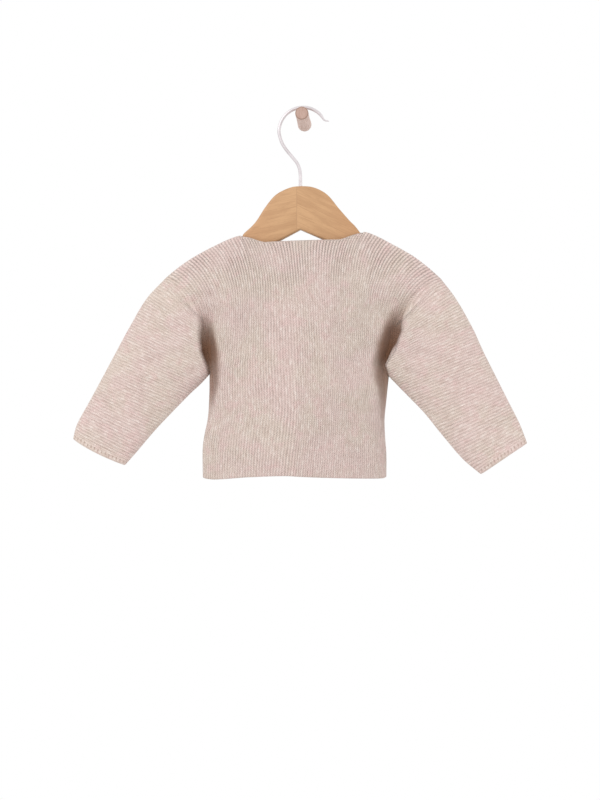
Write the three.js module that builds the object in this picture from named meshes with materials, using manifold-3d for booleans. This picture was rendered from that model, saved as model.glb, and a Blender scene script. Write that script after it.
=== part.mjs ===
// A baby cardigan in garter stitch, hung by its shoulders on a small wooden hanger
// whose wire hook hangs on a round wooden wall peg. Millimetres, +Z up.
// The origin is the middle of the peg's flat base on the wall, which is the plane y = 0.
// The cardigan's back faces -Y, away from the wall, and its left side is at -X.

import * as THREE from 'three';
import { mergeVertices } from 'three/addons/utils/BufferGeometryUtils.js';
import Module from 'manifold-3d';

// The cloth
const hangY = -57;           // the plane of the hanger's middle, the shoulder ridge and the side seams
const wall = 2.2;            // thickness of the knitted cloth
const seamGap = 0.3;         // air between two pieces that meet
const topRound = 9.8;        // depth of the turn of the cloth over the hanger
const hangerTurn = 3.2;      // roundness exponent of that turn over the hanger's flat edge
const freeTurn = 2.2;        // and past the hanger's arms, where it is nearly a circle
const turnChange = { from: 115, to: 150 };  // distance from the middle where one becomes the other

// The neck and the front opening
const neckHalf = 64;         // from the middle to the neck's corners on the shoulder ridge
const neckCornerDrop = 2.1;  // where the neck's edge leaves the ridge beside the hanger
const backNeckDrop = 9.8;    // the back neck's edge below the ridge
const backNeckShare = 0.62;  // share of the neck's width where that edge is straight
const frontNeckDrop = 64;    // the front neck's point below the ridge
const frontNeckCurve = 1.1;
const overlapShare = 0.09;   // how far each front passes the middle, as a share of the half width
const overlapLift = 1.4;     // the upper front stands out by this much, and the lower one sinks
const overlapRun = 0.16;     // share of the half width over which it does

// The body's cross-section and its fold
const sideExponent = 2.4;    // how full the body is towards its sides
const virtualSlope = 0.7265; // slope of the rows of knitting above the armhole's top
const bowSkew = 0.85;        // moves the armhole curve's fullest point up from its middle
const armholeEnd = 0.86;     // share of the armhole where it turns under to the other side
const sleeveRise = 0.13;     // share of the sleeve over which it fills out from the fold
const sleeveExponent = 2.2;
const cuffStart = 0.958;     // share of the sleeve's length where the cuff's edging begins
const cuffRaise = 0.35;      // the edging stands out a little from the sleeve

// Shoulder ridge, seen from behind: the outline of the hung cloth between the two armholes
const shoulderRidge = [
  { x: -152.0, z: -177.0 }, { x: -131.8, z: -160.1 }, { x: -112.9, z: -147.5 },
  { x: -88.7, z: -134.9 }, { x: -74.0, z: -128.9 }, { x: -64.0, z: -126.0 },
  { x: 0.0, z: -122.6 }, { x: 64.0, z: -124.0 }, { x: 76.0, z: -127.4 },
  { x: 92.9, z: -134.9 }, { x: 115.0, z: -147.5 }, { x: 131.8, z: -160.1 },
  { x: 152.0, z: -178.2 },
];

// The middle row of knitting, and the body's two sides below the underarms
const middleRow = [
  { z: -380, x: -8.9 }, { z: -271, x: -4.7 }, { z: -194, x: -1.6 }, { z: -123, x: -0.5 },
];
const leftSide = [
  { z: -381, x: -104.8 }, { z: -350, x: -105.0 }, { z: -336, x: -103.2 },
  { z: -318, x: -99.6 }, { z: -295, x: -98.2 }, { z: -271.4, x: -97.8 },
];
const rightSide = [
  { z: -381, x: 88.0 }, { z: -355, x: 88.0 }, { z: -336, x: 86.6 },
  { z: -319, x: 86.1 }, { z: -300, x: 87.9 }, { z: -272.5, x: 90.8 },
];

// The hem's height across the body, from its left side to its right
const hemLine = [
  { w: -1, z: -380.4 }, { w: -0.85, z: -380.8 }, { w: -0.5, z: -377.8 }, { w: 0, z: -376.6 },
  { w: 0.3, z: -378.0 }, { w: 0.8, z: -378.6 }, { w: 1, z: -379.6 },
];

// Half the body's depth at its middle, by the height below the ridge
const bodyDepths = [
  { drop: 0, depth: 9.8 }, { drop: 12, depth: 10.4 }, { drop: 45, depth: 14.5 },
  { drop: 90, depth: 19.5 }, { drop: 140, depth: 23 }, { drop: 200, depth: 25 },
  { drop: 260, depth: 25 },
];

// Half the depth left at the bottom of the underarm fold, along the armhole
const foldDepths = [
  { share: 0, depth: 10.5 }, { share: 0.2, depth: 12.5 }, { share: 0.35, depth: 10 },
  { share: 0.5, depth: 6.2 }, { share: 0.65, depth: 4.3 }, { share: 0.8, depth: 4 },
  { share: 1, depth: 4 },
];

// Each sleeve by its sections, from the armhole to the cuff's edge: the ends of the section on
// the sleeve's upper and under edges, half its depth, and how far it bows towards the neck
const sleeves = [
  {
    side: 'left', sign: -1, sideLine: leftSide,
    sections: [
      { along: 0, topX: -144.4, topZ: -170.3, lowX: -97.8, lowZ: -271.4, depth: 15, bow: 18 },
      { along: 0.15, topX: -164.3, topZ: -191.6, lowX: -99.4, lowZ: -273.2, depth: 17.5, bow: 12.5 },
      { along: 0.34, topX: -183.2, topZ: -223.1, lowX: -108.7, lowZ: -283.0, depth: 18.5, bow: 5.3 },
      { along: 0.485, topX: -196.9, topZ: -248.3, lowX: -118.5, lowZ: -292.0, depth: 17, bow: 2 },
      { along: 0.63, topX: -210.5, topZ: -273.5, lowX: -136.5, lowZ: -310.3, depth: 14.5, bow: 0.5 },
      { along: 0.775, topX: -224.2, topZ: -298.7, lowX: -155.9, lowZ: -330.8, depth: 12.2, bow: 0 },
      { along: 0.92, topX: -237.6, topZ: -324.6, lowX: -176.9, lowZ: -355.4, depth: 10.2, bow: -0.8 },
      { along: 1, topX: -240.5, topZ: -338.6, lowX: -187.4, lowZ: -367.0, depth: 9.4, bow: -1.4 },
    ],
  },
  {
    side: 'right', sign: 1, sideLine: rightSide,
    sections: [
      { along: 0, topX: 144.4, topZ: -170.9, lowX: 90.8, lowZ: -272.5, depth: 15, bow: 19 },
      { along: 0.14, topX: 160.3, topZ: -192.0, lowX: 92.6, lowZ: -274.4, depth: 17.5, bow: 13 },
      { along: 0.32, topX: 178.0, topZ: -223.1, lowX: 100.3, lowZ: -283.8, depth: 18.5, bow: 5.5 },
      { along: 0.465, topX: 189.5, topZ: -248.3, lowX: 109.5, lowZ: -293.2, depth: 17, bow: 2 },
      { along: 0.61, topX: 202.1, topZ: -273.5, lowX: 127.6, lowZ: -311.9, depth: 14.5, bow: 0.5 },
      { along: 0.755, topX: 214.7, topZ: -298.7, lowX: 145.4, lowZ: -333.9, depth: 12.2, bow: 0 },
      { along: 0.90, topX: 227.3, topZ: -323.9, lowX: 168.2, lowZ: -360.6, depth: 10.2, bow: -0.8 },
      { along: 1, topX: 234.7, topZ: -341.8, lowX: 186.4, lowZ: -375.9, depth: 9.4, bow: -1.4 },
    ],
  },
];

// How finely the cloth is divided
const ringSteps = 12;        // steps from a sleeve's upper edge to its under edge, on each face
const sideRows = 7;          // rows of the body from the underarm to the hem
const turnRows = 5;          // rows of the body that follow the turn over the hanger
const rowMix = 3;            // how soon the body's rows take up the armhole's spacing
const neckColumns = [0, 0.3, 0.52, 0.7, 0.84, 0.94, 0.992];
const shoulderColumns = [0, 0.1, 0.22, 0.35, 0.48, 0.6, 0.72, 0.82, 0.9, 0.95, 0.985, 1];
const sleeveRings = [0, 0.018, 0.045, 0.085, 0.135, 0.22, 0.31, 0.42, 0.54, 0.67, 0.79, 0.89];

// The buttons, down the middle of the upper front
const buttonZ = [-219, -264, -309, -354];
const button = { radius: 6, thick: 2.6, rim: 1.1, dish: 0.7, sides: 18 };

// The hanger: a board cut from one outline, with a hole for the hook's stem
const board = { thick: 11, bevel: 1.6, below: 3.1, armEnd: 117, armTip: 122, points: 26 };
const boardCrown = [
  { x: 63.4, z: -131.0 }, { x: 60.4, z: -124.6 }, { x: 54.6, z: -116.6 }, { x: 48.6, z: -109.7 },
  { x: 38.8, z: -97.1 }, { x: 29.5, z: -84.5 }, { x: 20.5, z: -78.3 }, { x: 10.0, z: -75.6 },
  { x: 0.0, z: -75.0 },
];
const boardUnder = [
  { x: 116, z: -167.0 }, { x: 90, z: -159.5 }, { x: 61, z: -149.5 }, { x: 40, z: -140.0 },
  { x: 21.5, z: -130.4 },
];
const boardNotch = { x: -2.0, z: -120.0 };

// The hook: a wire bent to a round loop over the peg, on a stem that stands in the board
const wire = { radius: 1.75, sides: 8, steps: 56, socketDepth: 11, tipX: 26.4, tipZ: -5.6 };
const hookLoop = { x: 0.5, radius: 25.2, fromDegrees: 184, toDegrees: 28, points: 11 };
const hookStem = [
  { x: -2.1, z: -73.0 }, { x: -2.5, z: -59.5 }, { x: -5.0, z: -50.9 }, { x: -11.0, z: -42.9 },
  { x: -16.6, z: -36.2 }, { x: -21.7, z: -28.1 },
];

const peg = { radius: 6.9, length: 75, edge: 1.2, sides: 32 };

const clamp01 = (t) => Math.min(Math.max(t, 0), 1);
const mix = (a, b, t) => a + (b - a) * t;
const smooth = (t) => clamp01(t) ** 2 * (3 - 2 * clamp01(t));

// A smooth curve through a table's rows: column `out` as a function of column `by`
function through(rows, by, out) {
  const at = rows.map((row) => row[by]);
  const value = rows.map((row) => row[out]);
  const last = at.length - 1;
  const slope = at.map((_, i) => {
    const before = Math.max(i - 1, 0);
    const after = Math.min(i + 1, last);
    return (value[after] - value[before]) / (at[after] - at[before]);
  });
  return (x) => {
    let i = 0;
    while (i < last - 1 && x > at[i + 1]) i += 1;
    const span = at[i + 1] - at[i];
    const t = clamp01((x - at[i]) / span);
    const rise = t * t * (3 - 2 * t);
    return mix(value[i], value[i + 1], rise)
      + span * (slope[i] * t * (1 - t) ** 2 - slope[i + 1] * t * t * (1 - t));
  };
}

// The root of a function that grows from below zero to above it
function rootOf(grow, low, high) {
  let [a, b] = [low, high];
  for (let step = 0; step < 48; step += 1) {
    const middle = (a + b) / 2;
    if (grow(middle) < 0) a = middle;
    else b = middle;
  }
  return (a + b) / 2;
}

const ridgeZ = through(shoulderRidge, 'x', 'z');
const middleX = through(middleRow, 'z', 'x');
const hemZ = through(hemLine, 'w', 'z');
const depthAtDrop = through(bodyDepths, 'drop', 'depth');
const foldDepth = through(foldDepths, 'share', 'depth');

for (const sleeve of sleeves) {
  sleeve.sideX = through(sleeve.sideLine, 'z', 'x');
  sleeve.curves = {};
  for (const column of ['topX', 'topZ', 'lowX', 'lowZ', 'depth', 'bow']) {
    sleeve.curves[column] = through(sleeve.sections, 'along', column);
  }
  const armhole = sleeve.sections[0];
  sleeve.top = { x: armhole.topX, z: ridgeZ(armhole.topX) };
  sleeve.under = { x: armhole.lowX, z: armhole.lowZ };
}
const [leftSleeve, rightSleeve] = sleeves;
const sleeveOf = (w) => (w < 0 ? leftSleeve : rightSleeve);

// A rounded turn: 0 at the edge, 1 where the turn is finished
const turn = (t, exponent) => (1 - (1 - clamp01(t)) ** exponent) ** (1 / exponent);

// A point of a sleeve's section in the hanging plane, and half the sleeve's depth there
function sleeveLine(sleeve, along, share) {
  const at = {};
  for (const [column, curve] of Object.entries(sleeve.curves)) at[column] = curve(along);
  if (along === 0) at.topZ = sleeve.top.z;
  const runX = at.lowX - at.topX;
  const runZ = at.lowZ - at.topZ;
  const length = Math.hypot(runX, runZ);
  const bow = at.bow * Math.sin(Math.PI * share ** bowSkew);
  return {
    x: at.topX + runX * share + (sleeve.sign * runZ * bow) / length,
    z: at.topZ + runZ * share - (sleeve.sign * runX * bow) / length,
    depth: at.depth,
  };
}

// The roundness of the turn over the shoulder at one distance from the middle
function turnExponent(x) {
  const share = (Math.abs(x) - turnChange.from) / (turnChange.to - turnChange.from);
  return mix(hangerTurn, freeTurn, smooth(share));
}

// Half the depth of the cloth in the fold, along the armhole from the ridge to the underarm
function armholeDepth(sleeve, share) {
  const point = sleeveLine(sleeve, 0, share);
  const over = turn((ridgeZ(point.x) - point.z) / topRound, turnExponent(point.x));
  const under = turn((1 - share) / (1 - armholeEnd), 2);
  return foldDepth(share) * over * under;
}

function armholeShareAt(sleeve, z) {
  return rootOf((share) => z - sleeveLine(sleeve, 0, share).z, 0, 1);
}

// The body's side: a straight run above the armhole, then the armhole, then the side seam
function bodySideX(sleeve, z) {
  if (z > sleeve.top.z) return sleeve.top.x + (sleeve.sign * (z - sleeve.top.z)) / virtualSlope;
  if (z > sleeve.under.z) return sleeveLine(sleeve, 0, armholeShareAt(sleeve, z)).x;
  return sleeve.sideX(z);
}

// A column of the body is one row of knitting, w from -1 at the left side to 1 at the right
function columnX(w, z) {
  const middle = middleX(z);
  return middle + Math.abs(w) * (bodySideX(sleeveOf(w), z) - middle);
}

function columnTopZ(w) {
  return rootOf((z) => z - ridgeZ(columnX(w, z)), -185, -110);
}

function columnThroughX(x) {
  const sign = Math.sign(x);
  return sign * rootOf((w) => sign * columnX(sign * w, columnTopZ(sign * w)) - sign * x, 0, 1);
}

// A point of the body's outer surface: face is -1 for the back and 1 for the front
function bodyPoint(panel, w, drop, topZ) {
  const z = topZ - drop;
  const sleeve = sleeveOf(w);
  const x = columnX(w, z);
  const below = Math.max(ridgeZ(x) - z, 0);
  let fold = 0;
  if (z > sleeve.top.z) fold = foldDepth(0);
  else if (z > sleeve.under.z) {
    const share = armholeShareAt(sleeve, z);
    fold = foldDepth(share) * turn((1 - share) / (1 - armholeEnd), 2);
  }
  const across = Math.sqrt(1 - Math.min(Math.abs(w), 1) ** sideExponent);
  const full = fold + (depthAtDrop(below) - fold) * across;
  const depth = full * turn(below / topRound, turnExponent(x)) + panel.lift(w);
  return new THREE.Vector3(x, hangY + panel.face * Math.max(depth, 0), z);
}

// A point of a sleeve's outer surface: angle 0 on the upper edge, half a turn on the under edge
function sleevePoint(sleeve, along, angle) {
  const cos = Math.cos(angle);
  const share = (1 - Math.sign(cos) * Math.abs(cos) ** (2 / sleeveExponent)) / 2;
  const line = sleeveLine(sleeve, along, share);
  const round = Math.abs(Math.sin(angle)) ** (2 / sleeveExponent) * line.depth;
  const rise = 1 - (1 - clamp01(along / sleeveRise)) ** 2.5;
  const depth = mix(armholeDepth(sleeve, share), round, rise);
  const face = angle > Math.PI ? 1 : -1;
  return new THREE.Vector3(line.x, hangY + face * depth, line.z);
}

function normalFrom(along, across) {
  return new THREE.Vector3().crossVectors(along, across).normalize();
}

const flattened = (normal) => new THREE.Vector3(normal.x, 0, normal.z).normalize();

function sleeveNormal(sleeve, along, angle) {
  const reach = 0.008;
  const low = Math.max(along - reach, 0);
  const high = Math.min(along + reach, 1);
  const run = sleevePoint(sleeve, high, angle).sub(sleevePoint(sleeve, low, angle));
  const turned = (by) => sleevePoint(sleeve, along, (angle + by + 2 * Math.PI) % (2 * Math.PI));
  const round = turned(0.05).sub(turned(-0.05));
  return normalFrom(run, round).multiplyScalar(-sleeve.sign);
}

function bodyNormal(panel, w, drop) {
  const low = Math.max(w - 0.012, w < 0 ? -1 : 0);
  const high = Math.min(w + 0.012, w < 0 ? 0 : 1);
  const topZ = columnTopZ(w);
  const above = bodyPoint(panel, w, Math.max(drop - 0.05, 0), topZ);
  const run = bodyPoint(panel, w, drop + 0.05, topZ).sub(above);
  const right = bodyPoint(panel, high, drop, columnTopZ(high));
  const across = right.sub(bodyPoint(panel, low, drop, columnTopZ(low)));
  return normalFrom(run, across).multiplyScalar(-panel.face);
}

// Two grids of points, the outer surface and the inner one, closed into a solid by their rims
function sheetSolid(outer, inner, isTube) {
  const rows = outer.length;
  const columns = outer[0].length;
  const positions = [...outer.flat(), ...inner.flat()].flatMap((point) => [point.x, point.y, point.z]);
  const outerAt = (i, j) => i * columns + (j % columns);
  const innerAt = (i, j) => rows * columns + outerAt(i, j);
  const index = [];
  const quad = (a, b, c, d) => index.push(a, b, c, a, c, d);
  const steps = isTube ? columns : columns - 1;
  for (let i = 0; i < rows - 1; i += 1) {
    for (let j = 0; j < steps; j += 1) {
      quad(outerAt(i, j), outerAt(i, j + 1), outerAt(i + 1, j + 1), outerAt(i + 1, j));
      quad(innerAt(i, j), innerAt(i + 1, j), innerAt(i + 1, j + 1), innerAt(i, j + 1));
    }
  }
  for (let j = 0; j < steps; j += 1) {
    quad(outerAt(0, j + 1), outerAt(0, j), innerAt(0, j), innerAt(0, j + 1));
    quad(outerAt(rows - 1, j), outerAt(rows - 1, j + 1), innerAt(rows - 1, j + 1), innerAt(rows - 1, j));
  }
  for (let i = 0; i < rows - 1 && !isTube; i += 1) {
    quad(outerAt(i, 0), outerAt(i + 1, 0), innerAt(i + 1, 0), innerAt(i, 0));
    quad(outerAt(i + 1, steps), outerAt(i, steps), innerAt(i, steps), innerAt(i + 1, steps));
  }
  const geometry = new THREE.BufferGeometry();
  geometry.setAttribute('position', new THREE.Float32BufferAttribute(positions, 3));
  geometry.setIndex(signedVolume(positions, index) < 0 ? index.reverse() : index);
  geometry.computeVertexNormals();
  return geometry;
}

function signedVolume(positions, index) {
  const corner = (i) => new THREE.Vector3().fromArray(positions, index[i] * 3);
  let volume = 0;
  for (let i = 0; i < index.length; i += 3) {
    volume += corner(i).dot(corner(i + 1).cross(corner(i + 2))) / 6;
  }
  return volume;
}

const ringAngles = Array.from({ length: ringSteps * 2 }, (_, k) => (k * Math.PI) / ringSteps);
const ringShares = ringAngles.slice(0, ringSteps + 1).map((angle) => {
  const cos = Math.cos(angle);
  return (1 - Math.sign(cos) * Math.abs(cos) ** (2 / sleeveExponent)) / 2;
});

// The armhole's edge, which the body and the sleeve share: outer and inner points for each ring
// step on one face, and the way across it, towards the sleeve
function armholeEdge(panel, sleeve) {
  return ringShares.map((share, k) => {
    const angle = panel.face < 0 ? ringAngles[k] : 2 * Math.PI - ringAngles[k];
    const outer = sleevePoint(sleeve, 0, angle);
    const isEnd = k === 0 || k === ringSteps;
    if (isEnd) outer.y = hangY;
    const bodySide = bodyNormal(panel, sleeve.sign, sleeve.top.z - outer.z);
    const sleeveSide = sleeveNormal(sleeve, 0, angle);
    const sum = bodySide.add(sleeveSide).normalize();
    const normal = isEnd ? flattened(sum) : sum;
    const before = sleeveLine(sleeve, 0, Math.max(share - 0.02, 0));
    const after = sleeveLine(sleeve, 0, Math.min(share + 0.02, 1));
    const away = new THREE.Vector3(before.z - after.z, 0, after.x - before.x).normalize();
    away.multiplyScalar(sleeve.sign);
    return { outer, inner: outer.clone().addScaledVector(normal, -wall), away };
  });
}

// Where each row of the body lies in a column, as a share of the column's height
function rowShares(w) {
  const sleeve = sleeveOf(w);
  const height = sleeve.top.z - hemZ(sleeve.sign);
  const underShare = (sleeve.top.z - sleeve.under.z) / height;
  const rows = ringSteps + sideRows;
  const middleHeight = columnTopZ(0) - hemZ(0);
  const turnShare = topRound / middleHeight;
  const blend = Math.abs(w) ** rowMix;
  return Array.from({ length: rows + 1 }, (_, r) => {
    const quarter = Math.cos((Math.min(r, turnRows) / turnRows) * (Math.PI / 2));
    const turned = turnShare * (1 - quarter ** (2 / hangerTurn));
    const middle = r <= turnRows ? turned : mix(turnShare, 1, (r - turnRows) / (rows - turnRows));
    const side = r <= ringSteps
      ? (sleeve.top.z - sleeveLine(sleeve, 0, ringShares[r]).z) / height
      : mix(underShare, 1, (r - ringSteps) / sideRows);
    return mix(middle, side, blend);
  });
}

// One panel of the body, from its columns of knitting: the back, or one of the fronts
function bodyPanel(panel) {
  const edges = new Map(sleeves.map((sleeve) => [sleeve.sign, armholeEdge(panel, sleeve)]));
  const outerColumns = [];
  const innerColumns = [];
  for (const w of panel.columns) {
    const topZ = columnTopZ(w);
    const start = panel.neckDrop(w);
    const height = topZ - hemZ(w);
    const isSide = Math.abs(w) === 1;
    const edge = isSide ? edges.get(w) : null;
    const outerColumn = [];
    const innerColumn = [];
    rowShares(w).forEach((share, r) => {
      if (isSide && r <= ringSteps) {
        const { outer, inner, away } = edge[r];
        outerColumn.push(outer.clone().addScaledVector(away, -seamGap / 2));
        innerColumn.push(inner.clone().addScaledVector(away, -seamGap / 2));
      } else {
        const drop = start + (height - start) * share;
        const outer = bodyPoint(panel, w, drop, topZ);
        const isSeam = isSide || drop === 0;
        const normal = bodyNormal(panel, w, drop);
        outerColumn.push(outer);
        innerColumn.push(outer.clone().addScaledVector(isSeam ? flattened(normal) : normal, -wall));
      }
    });
    outerColumns.push(outerColumn);
    innerColumns.push(innerColumn);
  }
  // no point comes nearer to the seam plane than half the gap
  for (const point of [...outerColumns.flat(), ...innerColumns.flat()]) {
    point.y = hangY + panel.face * Math.max(panel.face * (point.y - hangY), seamGap / 2);
  }
  return sheetSolid(outerColumns, innerColumns, false);
}

// A length of sleeve as a closed tube, from rings at the given shares of its length
function sleeveTube(sleeve, rings, raise) {
  const outerRings = [];
  const innerRings = [];
  const faces = [{ face: -1, lift: () => 0 }, { face: 1, lift: () => 0 }];
  const [backEdge, frontEdge] = faces.map((panel) => armholeEdge(panel, sleeve));
  for (const along of rings) {
    const outerRing = [];
    const innerRing = [];
    ringAngles.forEach((angle, k) => {
      if (along === 0) {
        const { outer, inner, away } = k <= ringSteps ? backEdge[k] : frontEdge[2 * ringSteps - k];
        outerRing.push(outer.clone().addScaledVector(away, seamGap / 2));
        innerRing.push(inner.clone().addScaledVector(away, seamGap / 2));
      } else {
        const outer = sleevePoint(sleeve, along, angle);
        const isEdge = k % ringSteps === 0;
        if (isEdge) outer.y = hangY;
        const across = sleeveNormal(sleeve, along, angle);
        const normal = isEdge ? flattened(across) : across;
        outerRing.push(outer.clone().addScaledVector(normal, raise));
        innerRing.push(outer.clone().addScaledVector(normal, -wall));
      }
    });
    outerRings.push(outerRing);
    innerRings.push(innerRing);
  }
  return sheetSolid(outerRings, innerRings, true);
}

// The columns of a half of the body, from the middle or past it to the side
const neckCorner = new Map([[-1, columnThroughX(-neckHalf)], [1, columnThroughX(neckHalf)]]);

function halfColumns(sign) {
  const corner = neckCorner.get(sign);
  return [
    ...neckColumns.map((share) => corner * share),
    ...shoulderColumns.map((share) => (share === 1 ? sign : mix(corner, sign, share))),
  ];
}

// How far below the ridge a neck edge starts in a column, 0 outside the neck
const isInNeck = (w) => Math.abs(w) < Math.abs(neckCorner.get(Math.sign(w) || 1)) * 0.999;

function backNeck(w) {
  if (!isInNeck(w)) return 0;
  const share = Math.abs(w / neckCorner.get(Math.sign(w) || 1));
  return mix(neckCornerDrop, backNeckDrop, smooth((1 - share) / (1 - backNeckShare)));
}

// The front's neck edge runs straight past the middle to the end of the overlap
function frontNeck(sign) {
  return (w) => {
    const share = w / neckCorner.get(sign);
    if (share >= 0.999) return 0;
    return mix(neckCornerDrop, frontNeckDrop, (1 - share) ** frontNeckCurve);
  };
}

// The fronts part in depth where they overlap, the right one outside
function frontLift(sign) {
  return (w) => sign * overlapLift * (1 - smooth((sign * w - overlapShare) / overlapRun));
}

const backPanel = {
  face: -1,
  columns: [...halfColumns(-1).reverse(), ...halfColumns(1).slice(1)],
  neckDrop: backNeck,
  lift: () => 0,
};

function frontPanel(sign) {
  return {
    face: 1,
    columns: [-sign * overlapShare, (-sign * overlapShare) / 2, ...halfColumns(sign)],
    neckDrop: frontNeck(sign),
    lift: frontLift(sign),
  };
}

// A round button with a raised rim and a dished middle, its axis along +Y
function buttonGeometry() {
  const { radius, thick, rim, dish, sides } = button;
  const profile = [
    [0, 0], [radius - rim, 0], [radius, rim * 0.6], [radius, thick - rim * 0.5],
    [radius - rim * 0.6, thick], [radius - rim * 1.5, thick - dish * 0.6], [radius * 0.4, thick - dish],
    [0, thick - dish],
  ];
  return new THREE.LatheGeometry(profile.map(([x, y]) => new THREE.Vector2(x, y)), sides);
}

// The hanger's outline: the arms lie under the shoulder ridge by the cloth's wall and a gap
function boardOutline() {
  const half = (sign) => {
    const arm = [];
    for (let x = board.armEnd; x > neckHalf + 4; x -= 10) {
      const slope = (ridgeZ(sign * (x + 1)) - ridgeZ(sign * (x - 1))) / 2;
      const length = Math.hypot(1, slope);
      arm.push(new THREE.Vector2(sign * (x + (board.below * slope) / length),
        ridgeZ(sign * x) - board.below / length));
    }
    const crown = boardCrown.map(({ x, z }) => new THREE.Vector2(sign * x, z));
    const under = boardUnder.map(({ x, z }) => new THREE.Vector2(sign * x, z));
    const tipZ = (arm[0].y + under[0].y) / 2;
    const tip = [
      new THREE.Vector2(sign * (board.armTip - 1.2), tipZ - 4.5),
      new THREE.Vector2(sign * board.armTip, tipZ),
      new THREE.Vector2(sign * (board.armTip - 1.2), tipZ + 4),
    ];
    return new THREE.SplineCurve([...under.reverse(), ...tip, ...arm, ...crown]).getPoints(board.points);
  };
  const left = half(-1);
  const right = half(1).reverse().slice(1);
  return [...left, ...right, new THREE.Vector2(boardNotch.x, boardNotch.z)];
}

function boardGeometry(wasm) {
  const shape = new THREE.Shape(boardOutline());
  const plate = new THREE.ExtrudeGeometry(shape, {
    depth: board.thick - 2 * board.bevel, steps: 1, bevelEnabled: true, bevelSegments: 2,
    bevelThickness: board.bevel, bevelSize: board.bevel, bevelOffset: -board.bevel,
  });
  plate.translate(0, 0, board.bevel - board.thick / 2);
  plate.rotateX(Math.PI / 2);
  plate.translate(0, hangY, 0);
  const crownZ = boardCrown[boardCrown.length - 1].z;
  const hole = new THREE.CylinderGeometry(wire.radius + seamGap, wire.radius + seamGap,
    wire.socketDepth * 2, 16);
  hole.rotateX(Math.PI / 2);
  hole.translate(hookStem[0].x, hangY, crownZ);
  return fromManifold(toManifold(wasm, plate).subtract(toManifold(wasm, hole)));
}

function toManifold(wasm, geometry) {
  geometry.deleteAttribute('normal');
  geometry.deleteAttribute('uv');
  const merged = mergeVertices(geometry, 1e-4);
  return new wasm.Manifold(new wasm.Mesh({
    numProp: 3,
    vertProperties: merged.attributes.position.array,
    triVerts: new Uint32Array(merged.index.array),
  }));
}

function fromManifold(solid) {
  const mesh = solid.getMesh();
  const geometry = new THREE.BufferGeometry();
  geometry.setAttribute('position', new THREE.BufferAttribute(new Float32Array(mesh.vertProperties), 3));
  geometry.setIndex(new THREE.BufferAttribute(new Uint32Array(mesh.triVerts), 1));
  geometry.computeVertexNormals();
  return geometry;
}

// The hook's wire, from the bottom of its hole up the stem and round the loop to the tip
function hookGeometry() {
  const loopZ = peg.radius + seamGap + wire.radius - hookLoop.radius;
  const crownZ = boardCrown[boardCrown.length - 1].z;
  const stemFoot = { x: hookStem[0].x, z: crownZ - wire.socketDepth + seamGap };
  const loop = Array.from({ length: hookLoop.points }, (_, k) => {
    const share = k / (hookLoop.points - 1);
    const angle = THREE.MathUtils.degToRad(mix(hookLoop.fromDegrees, hookLoop.toDegrees, share));
    return {
      x: hookLoop.x + hookLoop.radius * Math.cos(angle),
      z: loopZ + hookLoop.radius * Math.sin(angle),
    };
  });
  const route = [stemFoot, ...hookStem, ...loop, { x: wire.tipX, z: wire.tipZ }];
  const path = new THREE.CatmullRomCurve3(route.map(({ x, z }) => new THREE.Vector3(x, hangY, z)));
  const section = new THREE.Shape().absarc(0, 0, wire.radius, 0, Math.PI * 2);
  return new THREE.ExtrudeGeometry(section, {
    steps: wire.steps, curveSegments: wire.sides / 2, extrudePath: path, bevelEnabled: false,
  });
}

// The peg, from its flat base on the wall to its rounded end, along -Y
function pegGeometry() {
  const { radius, length, edge, sides } = peg;
  const profile = [
    [0, 0], [radius, 0], [radius, length - edge], [radius - edge * 0.3, length - edge * 0.3],
    [radius - edge, length], [0, length],
  ];
  const geometry = new THREE.LatheGeometry(profile.map(([x, y]) => new THREE.Vector2(x, y)), sides);
  return geometry.rotateX(Math.PI);
}

const materials = {
  knit: new THREE.MeshStandardMaterial({ color: 0xd5c2b9, roughness: 0.95, metalness: 0 }),
  button: new THREE.MeshStandardMaterial({ color: 0xd9c8b4, roughness: 0.4, metalness: 0 }),
  wood: new THREE.MeshStandardMaterial({ color: 0xd1a37a, roughness: 0.5, metalness: 0 }),
  pegWood: new THREE.MeshStandardMaterial({ color: 0xcbb0a2, roughness: 0.6, metalness: 0 }),
  wire: new THREE.MeshStandardMaterial({ color: 0xe1dadc, roughness: 0.35, metalness: 0.6 }),
};

const cardigan = new THREE.Group();

function add(name, geometry, material) {
  const mesh = new THREE.Mesh(geometry, material);
  mesh.name = name;
  cardigan.add(mesh);
  return mesh;
}

const wasm = await Module();
wasm.setup();

add('back', bodyPanel(backPanel), materials.knit);
const frontPanels = new Map([[-1, frontPanel(-1)], [1, frontPanel(1)]]);
for (const sleeve of sleeves) {
  add(`front_${sleeve.side}`, bodyPanel(frontPanels.get(sleeve.sign)), materials.knit);
  add(`sleeve_${sleeve.side}`, sleeveTube(sleeve, [...sleeveRings, cuffStart], 0), materials.knit);
  const length = Math.hypot(sleeve.under.x - sleeve.curves.lowX(1), sleeve.under.z - sleeve.curves.lowZ(1));
  const cuffRings = [cuffStart + seamGap / length, (cuffStart + 1) / 2, 1];
  add(`cuff_${sleeve.side}`, sleeveTube(sleeve, cuffRings, cuffRaise), materials.knit);
}

buttonZ.forEach((z, i) => {
  const panel = frontPanels.get(1);
  const topZ = columnTopZ(0);
  const seat = bodyPoint(panel, 0, topZ - z, topZ);
  const normal = bodyNormal(panel, 0, topZ - z);
  const mesh = add(`button_${i + 1}`, buttonGeometry(), materials.button);
  mesh.position.copy(seat).addScaledVector(normal, seamGap);
  mesh.quaternion.setFromUnitVectors(new THREE.Vector3(0, 1, 0), normal);
});

add('hanger_wood', boardGeometry(wasm), materials.wood);
add('hanger_hook', hookGeometry(), materials.wire);
add('wall_peg', pegGeometry(), materials.pegWood);

export default cardigan;
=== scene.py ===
import math

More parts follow.
